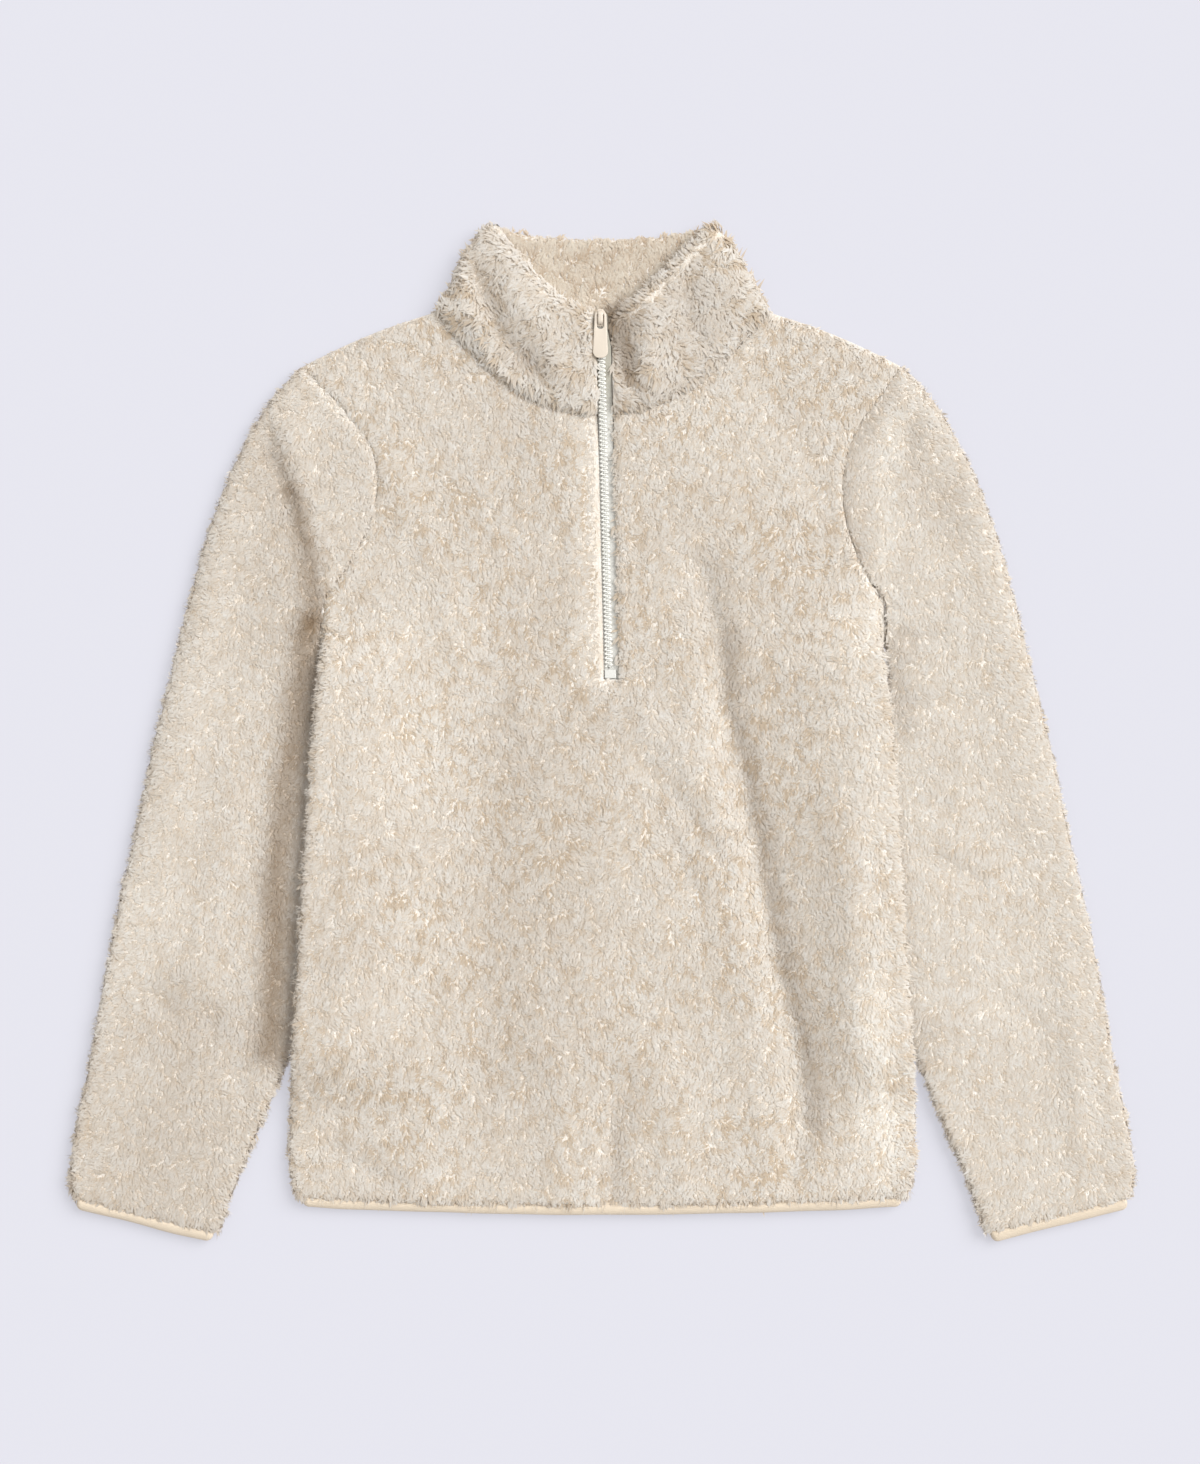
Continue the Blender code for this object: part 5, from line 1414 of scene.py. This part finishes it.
def colour_property(name, description, default):
    """A setting that is a colour."""
    return FloatVectorProperty(
        name=name, description=description, subtype="COLOR", size=3, min=0, max=1, default=default
    )


def number(name, description, default, **more):
    """A setting that is a number, with more of its limits or its kind."""
    return FloatProperty(name=name, description=description, default=default, **more)


class PulloverFleece(bpy.types.PropertyGroup):
    """The cloth and its pile. Sizes are in millimetres."""

    length: number("Length", "Length of a lock of pile, in millimetres", 5.2)
    rise: number("Rise", "How high a lock stands off the cloth, in millimetres", 0.8)
    width: number("Width", "Width of a lock, in millimetres", 1.9)
    curl: number("Curl", "How far a lock bends to one side, in millimetres", 1.0)
    clump: number("Clump", "Distance between clumps, in millimetres", 6.2)
    gather: number("Gather", "How far tips lean to their clump's middle", 0.6, min=0, max=1)
    scatter: number("Scatter", "How much locks turn from the nap", 0.38, subtype="ANGLE")
    density: number("Density", "Locks on a square millimetre", 0.36)
    relief: number("Relief", "How round a lock looks", 0.2, min=0, max=2)
    # Painted shade between the clumps
    gaps: number("Gaps", "How dark the pile is between its clumps", 0.62, min=0, max=1)
    hairs: number("Hairs", "Loose hairs on a square millimetre", 0.05)
    bends: IntProperty(name="Bends", description="Bends in a lock, 1 or 2", default=1, min=1, max=2)
    through: number("Through", "Share of light that comes through a lock", 0.35, min=0, max=1)
    sheen: number("Sheen", "Soft edge light of the fibres", 0.12, min=0, max=1)
    # The deep colour of the roots is painted shade among the locks
    deep_colour: colour_property("Deep colour", "Colour of the pile's roots", (0.66, 0.552, 0.42))
    tip_colour: colour_property("Tip colour", "Colour of the pile's tips", (0.935, 0.885, 0.785))
    # The collar's inside is toned darker and pinker: painted shade in the collar's hollow
    inside_shade_tone: colour_property("Inside tone", "Tone of the collar's inside", (0.93, 0.895, 0.87))


class PulloverZip(bpy.types.PropertyGroup):
    """The zip, its pull and the bindings. Sizes are in millimetres."""

    pitch: number("Pitch", "Distance between the coil's turns, in millimetres", 3.0)
    wire: number("Wire", "Radius of the coil's wire, in millimetres", 0.62)
    coil_colour: colour_property("Coil colour", "Colour of the coil and stop", (0.80, 0.795, 0.755))
    tape_colour: colour_property("Tape colour", "Colour of the zip's tapes", (0.74, 0.735, 0.70))
    enamel_colour: colour_property("Enamel colour", "Colour of the zip's pull", (0.69, 0.61, 0.515))
    binding_colour: colour_property("Binding colour", "Colour of the bindings", (0.745, 0.635, 0.50))


class PulloverStage(bpy.types.PropertyGroup):
    """The floor, the lights and the camera."""

    floor_colour: colour_property("Floor colour", "Colour of the floor", (0.239, 0.239, 0.262))
    glow: number("Glow", "How much the floor glows, as a light table does", 1.98)
    sky: number("Sky", "Strength of the light from all round", 0.58)
    key: number("Key", "Strength of the main light", 3.16)
    lens: number("Lens", "Focal length of the camera", 85.0, unit="CAMERA")
    frame_height: number("Frame height", "Height of the view", 1.0541, unit="LENGTH")


class PULLOVER_OT_finishes(bpy.types.Operator):
    """Make the materials of the fleece, the bindings and the zip"""

    bl_idname = "pullover.finishes"
    bl_label = "Finishes"

    def execute(self, context):
        fleece_finishes(context.scene.pullover_fleece)
        zip_ = context.scene.pullover_zip
        tape = Finish("woven_tape", 0.85, Sheen_Weight=0.1)
        weave = tape.noise(0.0009, (1.0, 3.0, 1.0), 1.0, turn=0.6)
        # Painted shade: the tapes turn darker and greener above 215 mm, where the collar's flaps shade
        # them
        upper = ((tape.across("Y") - 0.215) * 25.0).clamp()
        plain = tape.mix(scaled(zip_.tape_colour, 0.9), tuple(zip_.tape_colour), weave)
        tape.finish(tape.mix(plain, scaled(zip_.tape_colour, (0.6, 0.58, 0.52)), upper), weave, 0.0003)
        coil = Finish("coil_nylon", 0.4, Coat_Weight=0.1)
        enamel = Finish("enamel", 0.32, Coat_Weight=0.25, Coat_Roughness=0.25)
        for glossy, tone, darker, size in (
            (coil, zip_.coil_colour, 0.95, 0.003),
            (enamel, zip_.enamel_colour, 0.96, 0.004),
        ):
            wear = glossy.noise(size)
            glossy.finish(glossy.mix(scaled(tone, darker), tuple(tone), wear), wear, 0.0001)
        elastic = Finish("folded_elastic", 0.8, Sheen_Weight=0.15)
        ribs = elastic.noise(0.0011, (1.0, 4.0, 1.0), 1.0)
        patch = elastic.noise(0.03)
        colour = elastic.mix(scaled(zip_.binding_colour, 0.92), tuple(zip_.binding_colour), patch)
        elastic.finish(colour, ribs, 0.0004)
        thread = Finish("thread", 0.7)
        twist = thread.noise(0.0006)
        thread.finish(thread.mix((0.62, 0.56, 0.47), (0.8, 0.74, 0.64), twist), twist, 0.0002)
        return {"FINISHED"}


class PULLOVER_OT_cloth(bpy.types.Operator):
    """Make the front, back, sleeves and collar as thin shells"""

    bl_idname = "pullover.cloth"
    bl_label = "Cloth"

    def execute(self, context):
        make_cloth("back", panel_sides(False), "back_panel")
        make_cloth("front", panel_sides(True), "front_panel")
        for side, name in SIDES:
            make_cloth(f"sleeve_{name}", sleeve(side), f"sleeve_{name}", wrap=True)
        make_cloth("collar", collar(), "collar")
        return {"FINISHED"}


class PULLOVER_OT_pile(bpy.types.Operator):
    """Cover the cloth with locks of pile"""

    bl_idname = "pullover.pile"
    bl_label = "Pile"

    def execute(self, context):
        look = context.scene.pullover_fleece
        fur = made("fleece_locks")
        size = (look.length, look.rise, look.width)
        hairs, pile = {cloth: [] for cloth in CUTS}, {cloth: [] for cloth in CUTS}

        def cover(cloth, part, grid, dense, nap, brink, seed, up=1, hole=None, lock=size, material=fur):
            """Locks over a grid and loose hairs among them, with more hairs where brink is true."""
            root, normal = scatter(grid, dense, up, seed, hole)
            # Less painted shade between the clumps on the sleeves
            gaps = look.gaps * (SLEEVE_GAP_SHADE if cloth.startswith("sleeve") else 1)
            lie = nap(root[:, 0], root[:, 1])
            rest = (look, lock, material, gaps, seed + 1, look.bends)
            pile[cloth].append(pile_piece(cloth, part, root, normal, lie, *rest))
            more = look.hairs * (dense > 0) * (1 + BRINK_HAIRS * brink)
            root, normal = scatter(grid, more, up, seed + 2, hole)
            hairs[cloth].append((root, normal, *nap(root[:, 0], root[:, 1])))

        body_pile(cover, look.density)
        sleeve_pile(cover, look.density)
        collar_pile(cover, look)
        thin = (look.length * 1.15, look.rise * 2.2, HAIR)
        for seed, (cloth, some) in enumerate(hairs.items(), HAIR_SEED):
            root, normal, *lie = (np.concatenate(values) for values in zip(*some))
            hair = pile_piece(cloth, "hairs", root, normal, lie, look, thin, fur, 0.0, seed, 0)
            pile[cloth].append(hair)
        return {"FINISHED"}


class PULLOVER_OT_trim(bpy.types.Operator):
    """Finish the bindings and the tapes, and sew the topstitch beside the zip"""

    bl_idname = "pullover.trim"
    bl_label = "Trim"

    def execute(self, context):
        for node in ("zip_tape_left", "zip_tape_right", "zip_stop"):
            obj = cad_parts[node]
            obj.data.materials.clear()
            obj.data.materials.append(made("woven_tape"))
        x = HEM_ROLL_END * np.sin(np.linspace(-np.pi / 2, np.pi / 2, 140))
        path = np.column_stack([x, hem_line(np.abs(x)) + BIND_DEEP + GAP])
        rolls = {"hem_binding": (path, np.array((0.0, -1.0)), BIND_DEEP + GAP)}
        ends = np.array((0.0, 1.0))
        share = (1 - np.cos(np.linspace(0, np.pi, 60)))[:, None] / 2
        for side, name in SIDES:
            outer, inner = sleeve_plan(side, ends, ends)[0]
            way = unit(inner - outer)
            path = outer + way * CUFF_ROLL_END + (inner - outer - 2 * way * CUFF_ROLL_END) * share
            down = np.array((-way[1], way[0]))
            down = down * -np.sign(down[1])
            mirror = np.array((side, 1))
            rolls[f"cuff_binding_{name}"] = (path * mirror, down * mirror, CUFF_REACH)
        for node, (path, down, reach) in rolls.items():
            obj = piece(f"{node}_roll", *roll(path, down, reach), made("folded_elastic"))
            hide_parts(node)

        welts, sides = [], []
        for side in (-1, 1):
            x = np.linspace(opening_edge(NECK_SEAM_Y, side) * side + 1, NECK_HALF + 3, 90)
            neck = np.column_stack([side * x, top_line(x, NECK_DROP) + GAP])
            y = np.linspace(ARMPIT + 1, SHOULDER_TIP - 1, 90)
            arm = np.column_stack([side * (body_edge(y, side) + GAP), y])
            for plan in (neck, arm):
                height = surface_height(plan) - SEAM_RADIUS - SEAM_UNDER
                welts.append(tube(np.column_stack([plan, height]), SEAM_RADIUS, 6))
            y = np.linspace(ARMPIT - SIDE_LONG, ARMPIT + 2, 50)
            x = body_edge(y, side) + 1.6 - 6 * fade(ARMPIT - SIDE_LONG, ARMPIT - 26, y)
            sides.append(tube(np.column_stack([side * x, y, np.full(len(y), MID)]), SIDE_RADIUS, 8))
        counts = [sum(len(points) for points, _ in some) for some in (welts, sides)]
        # Painted shade on the welts along the seams, and painted light on the rolls below the armpits
        tint = {"tint": np.repeat((SEAM_SHADE, SIDE_LIGHT), counts)}
        obj = piece("seams", *join(welts + sides), made("fleece_ground"), attributes=tint)

        y = np.arange(SLIT_END + 4, STITCH_END, STITCH_PACE)
        along = np.linspace(-STITCH_HALF, STITCH_HALF, 5)
        dip = 0.3 * np.cos(along / STITCH_HALF * np.pi / 2) - 0.2
        line = (y[:, None] + along).ravel()
        plan = np.column_stack([opening_edge(line, -1) - STRIP + 0.4, line])
        height = surface_height(plan) + np.tile(dip, len(y))
        stitches = np.column_stack([plan, height]).reshape(len(y), -1, 3)
        piece("topstitch", *join([tube(stitch, THREAD, 5) for stitch in stitches]), made("thread"))
        return {"FINISHED"}


class PULLOVER_OT_coil(bpy.types.Operator):
    """Make the zip's closed coil"""

    bl_idname = "pullover.coil"
    bl_label = "Coil"

    def execute(self, context):
        settings = context.scene.pullover_zip
        parts = []
        low, high = ZIP_END[1] + 1.2, ZIP_TOP[1]
        for side in (-1, 1):
            y = np.linspace(low, high, int((high - low) / settings.pitch * TURN_STEPS))
            angle = 2 * np.pi * (y / settings.pitch + (0.5 if side < 0 else 0))
            x = zip_x(y) + side * (TURN_OUT - TURN_SWING * np.cos(angle))
            z = zip_rise(y) + TAPE_THICK / 2 + TURN_HIGH + TURN_RISE * np.sin(angle)
            turns = np.column_stack([x, y + TURN_SLANT * np.cos(angle), z])
            parts.append(tube(turns, settings.wire, 5))
            y = np.linspace(low, high, 60)
            z = zip_rise(y) + TAPE_THICK / 2 + CORE_HIGH
            parts.append(tube(np.column_stack([zip_x(y) + side * CORE_OUT, y, z]), CORE_RADIUS, 6))
        obj = piece("coil", *join(parts), made("coil_nylon"))
        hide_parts("zip_coil")
        return {"FINISHED"}


class PULLOVER_OT_slider(bpy.types.Operator):
    """Make the slider with its crown, and the pull that hangs from it"""

    bl_idname = "pullover.slider"
    bl_label = "Slider and pull"

    def execute(self, context):
        x, (low, high) = PULL_AXIS[0], SLIDER
        under = TAPE_HIGH - TAPE_THICK / 2 - GAP
        over = TAPE_HIGH + TAPE_THICK / 2 + 2 * GAP + PLATE_ROOM
        parts = [
            slab(outline(half, low, high, 1.6, 3.0, 0.3), floor, floor + PLATE_THICK, 0.45)
            for half, floor in ((4.0, under - PLATE_THICK), (4.3, over))
        ]
        parts.append(slab(outline(1.5, high - 2.4, high - 0.9, 0.5, 0.5), under - 0.5, over + 0.5, 0.2))
        parts = [(points + np.array([x, 0, 0]), faces) for points, faces in parts]
        t = np.linspace(-1, 1, 33)[:, None]
        y = (high + low) / 2 + t * (high - low - 2.0) / 2
        angle = np.linspace(0, 2 * np.pi, 16, endpoint=False)[None]
        wide = x + CROWN_HALF * squared(np.cos(angle)) * (1 - 0.12 * np.abs(t) ** 6)
        top = over + 1.2 + CROWN_RISE * np.clip(1 - np.abs(t) ** 5, 0, 1)
        height = top + CROWN_WIRE * squared(np.sin(angle))
        parts.append(loft(np.dstack([wide, np.broadcast_to(y, wide.shape), height])))
        obj = piece("slider", *join(parts), made("enamel"))
        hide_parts("zip_slider")

        rim = outline(PULL_HALF, -PULL_REACH, 0.9, 4.7, 1.4, 0.24)
        hole = outline(2.55, -10.8, -0.8, 2.3, 0.6, 0.1)
        section, soft, half = [], 0.55, PULL_THICK / 2
        for edge, sign, turns in ((rim, 1, (-90, 90)), (hole, -1, (90, -90))):
            way = np.roll(edge, -1, axis=0) - np.roll(edge, 1, axis=0)
            out = unit(np.column_stack([way[:, 1], -way[:, 0]])) * sign
            for turn in np.radians(np.linspace(*turns, 9)):
                level = np.sign(turn) * (half - soft) if abs(turn) > 1e-6 else 0.0
                plan = edge - out * soft * (1 - np.cos(turn))
                section.append(np.column_stack([plan, np.full(len(plan), level + soft * np.sin(turn))]))
        points, faces = loft(np.stack(section, axis=1), True)
        obj = piece("pull", points + np.array(PULL_AXIS), faces, made("enamel"), body="zip_pull")
        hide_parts("zip_pull")
        return {"FINISHED"}


class PULLOVER_OT_stage(bpy.types.Operator):
    """Set the floor, the lights and the camera"""

    bl_idname = "pullover.stage"
    bl_label = "Stage"

    def execute(self, context):
        scene, settings = context.scene, context.scene.pullover_stage
        around = ((-1, -1), (1, -1), (1, 1), (-1, 1))
        corners = np.array([(x * FLOOR_HALF, y * FLOOR_HALF, -FLOOR_UNDER) for x, y in around])
        paper = Finish("paper", 0.9, Specular_IOR_Level=0.1, Emission_Strength=settings.glow)
        grain = paper.noise(0.4)
        colour = tuple(settings.floor_colour)
        paper.feed(paper.shader.inputs["Emission Color"], colour)
        paper.finish(paper.mix(scaled(colour, 0.997), scaled(colour, 1.003), grain))
        mesh = bpy.data.meshes.new("floor")
        mesh.from_pydata((corners * MM).tolist(), [], [(0, 1, 2, 3)])
        mesh.materials.append(paper.material)
        floor = bpy.data.objects.new("floor", mesh)
        scene.collection.objects.link(floor)

        world = bpy.data.worlds.new("studio")
        world.use_nodes = True
        background = world.node_tree.nodes["Background"]
        background.inputs["Color"].default_value = SKY_TONE
        background.inputs["Strength"].default_value = settings.sky
        scene.world = world
        for name, aim, share, size, tone in LIGHTS:
            light = bpy.data.lights.new(name, "SUN")
            light.energy, light.angle, light.color = settings.key * share, size, tone
            lamp = bpy.data.objects.new(name, light)
            tilt = float(np.arctan2(np.hypot(aim[0], aim[1]), aim[2]))
            lamp.rotation_euler = (tilt, 0, float(np.arctan2(aim[0], -aim[1])))
            scene.collection.objects.link(lamp)
        camera = bpy.data.cameras.new("camera")
        camera.lens = settings.lens
        camera.sensor_width = SENSOR
        eye = bpy.data.objects.new("camera", camera)
        eye.location = (*EYE, settings.frame_height * settings.lens / SENSOR)
        scene.collection.objects.link(eye)
        scene.camera = eye
        scene.view_settings.view_transform = "Standard"
        return {"FINISHED"}


OPERATORS = (
    PULLOVER_OT_finishes,
    PULLOVER_OT_cloth,
    PULLOVER_OT_pile,
    PULLOVER_OT_trim,
    PULLOVER_OT_coil,
    PULLOVER_OT_slider,
    PULLOVER_OT_stage,
)
SETTINGS = {
    "pullover_fleece": PulloverFleece,
    "pullover_zip": PulloverZip,
    "pullover_stage": PulloverStage,
}


class PULLOVER_PT_sidebar(bpy.types.Panel):
    """The pullover's settings and steps"""

    bl_idname = "PULLOVER_PT_sidebar"
    bl_label = "Pullover"
    bl_space_type = "VIEW_3D"
    bl_region_type = "UI"
    bl_category = "Pullover"

    def draw(self, context):
        for key, group in SETTINGS.items():
            box = self.layout.box()
            for name in group.__annotations__:
                box.prop(getattr(context.scene, key), name)
        for operator in OPERATORS:
            self.layout.operator(operator.bl_idname)


def register():
    for group in (*SETTINGS.values(), *OPERATORS, PULLOVER_PT_sidebar):
        bpy.utils.register_class(group)
    for key, group in SETTINGS.items():
        setattr(bpy.types.Scene, key, PointerProperty(type=group))


def unregister():
    for key in SETTINGS:
        delattr(bpy.types.Scene, key)
    for group in (PULLOVER_PT_sidebar, *reversed(OPERATORS), *reversed(SETTINGS.values())):
        bpy.utils.unregister_class(group)


def main():
    register()
    bpy.ops.pullover.finishes()
    bpy.ops.pullover.cloth()
    bpy.ops.pullover.pile()
    bpy.ops.pullover.trim()
    bpy.ops.pullover.coil()
    bpy.ops.pullover.slider()
    bpy.ops.pullover.stage()


if __name__ == "__main__":
    main()
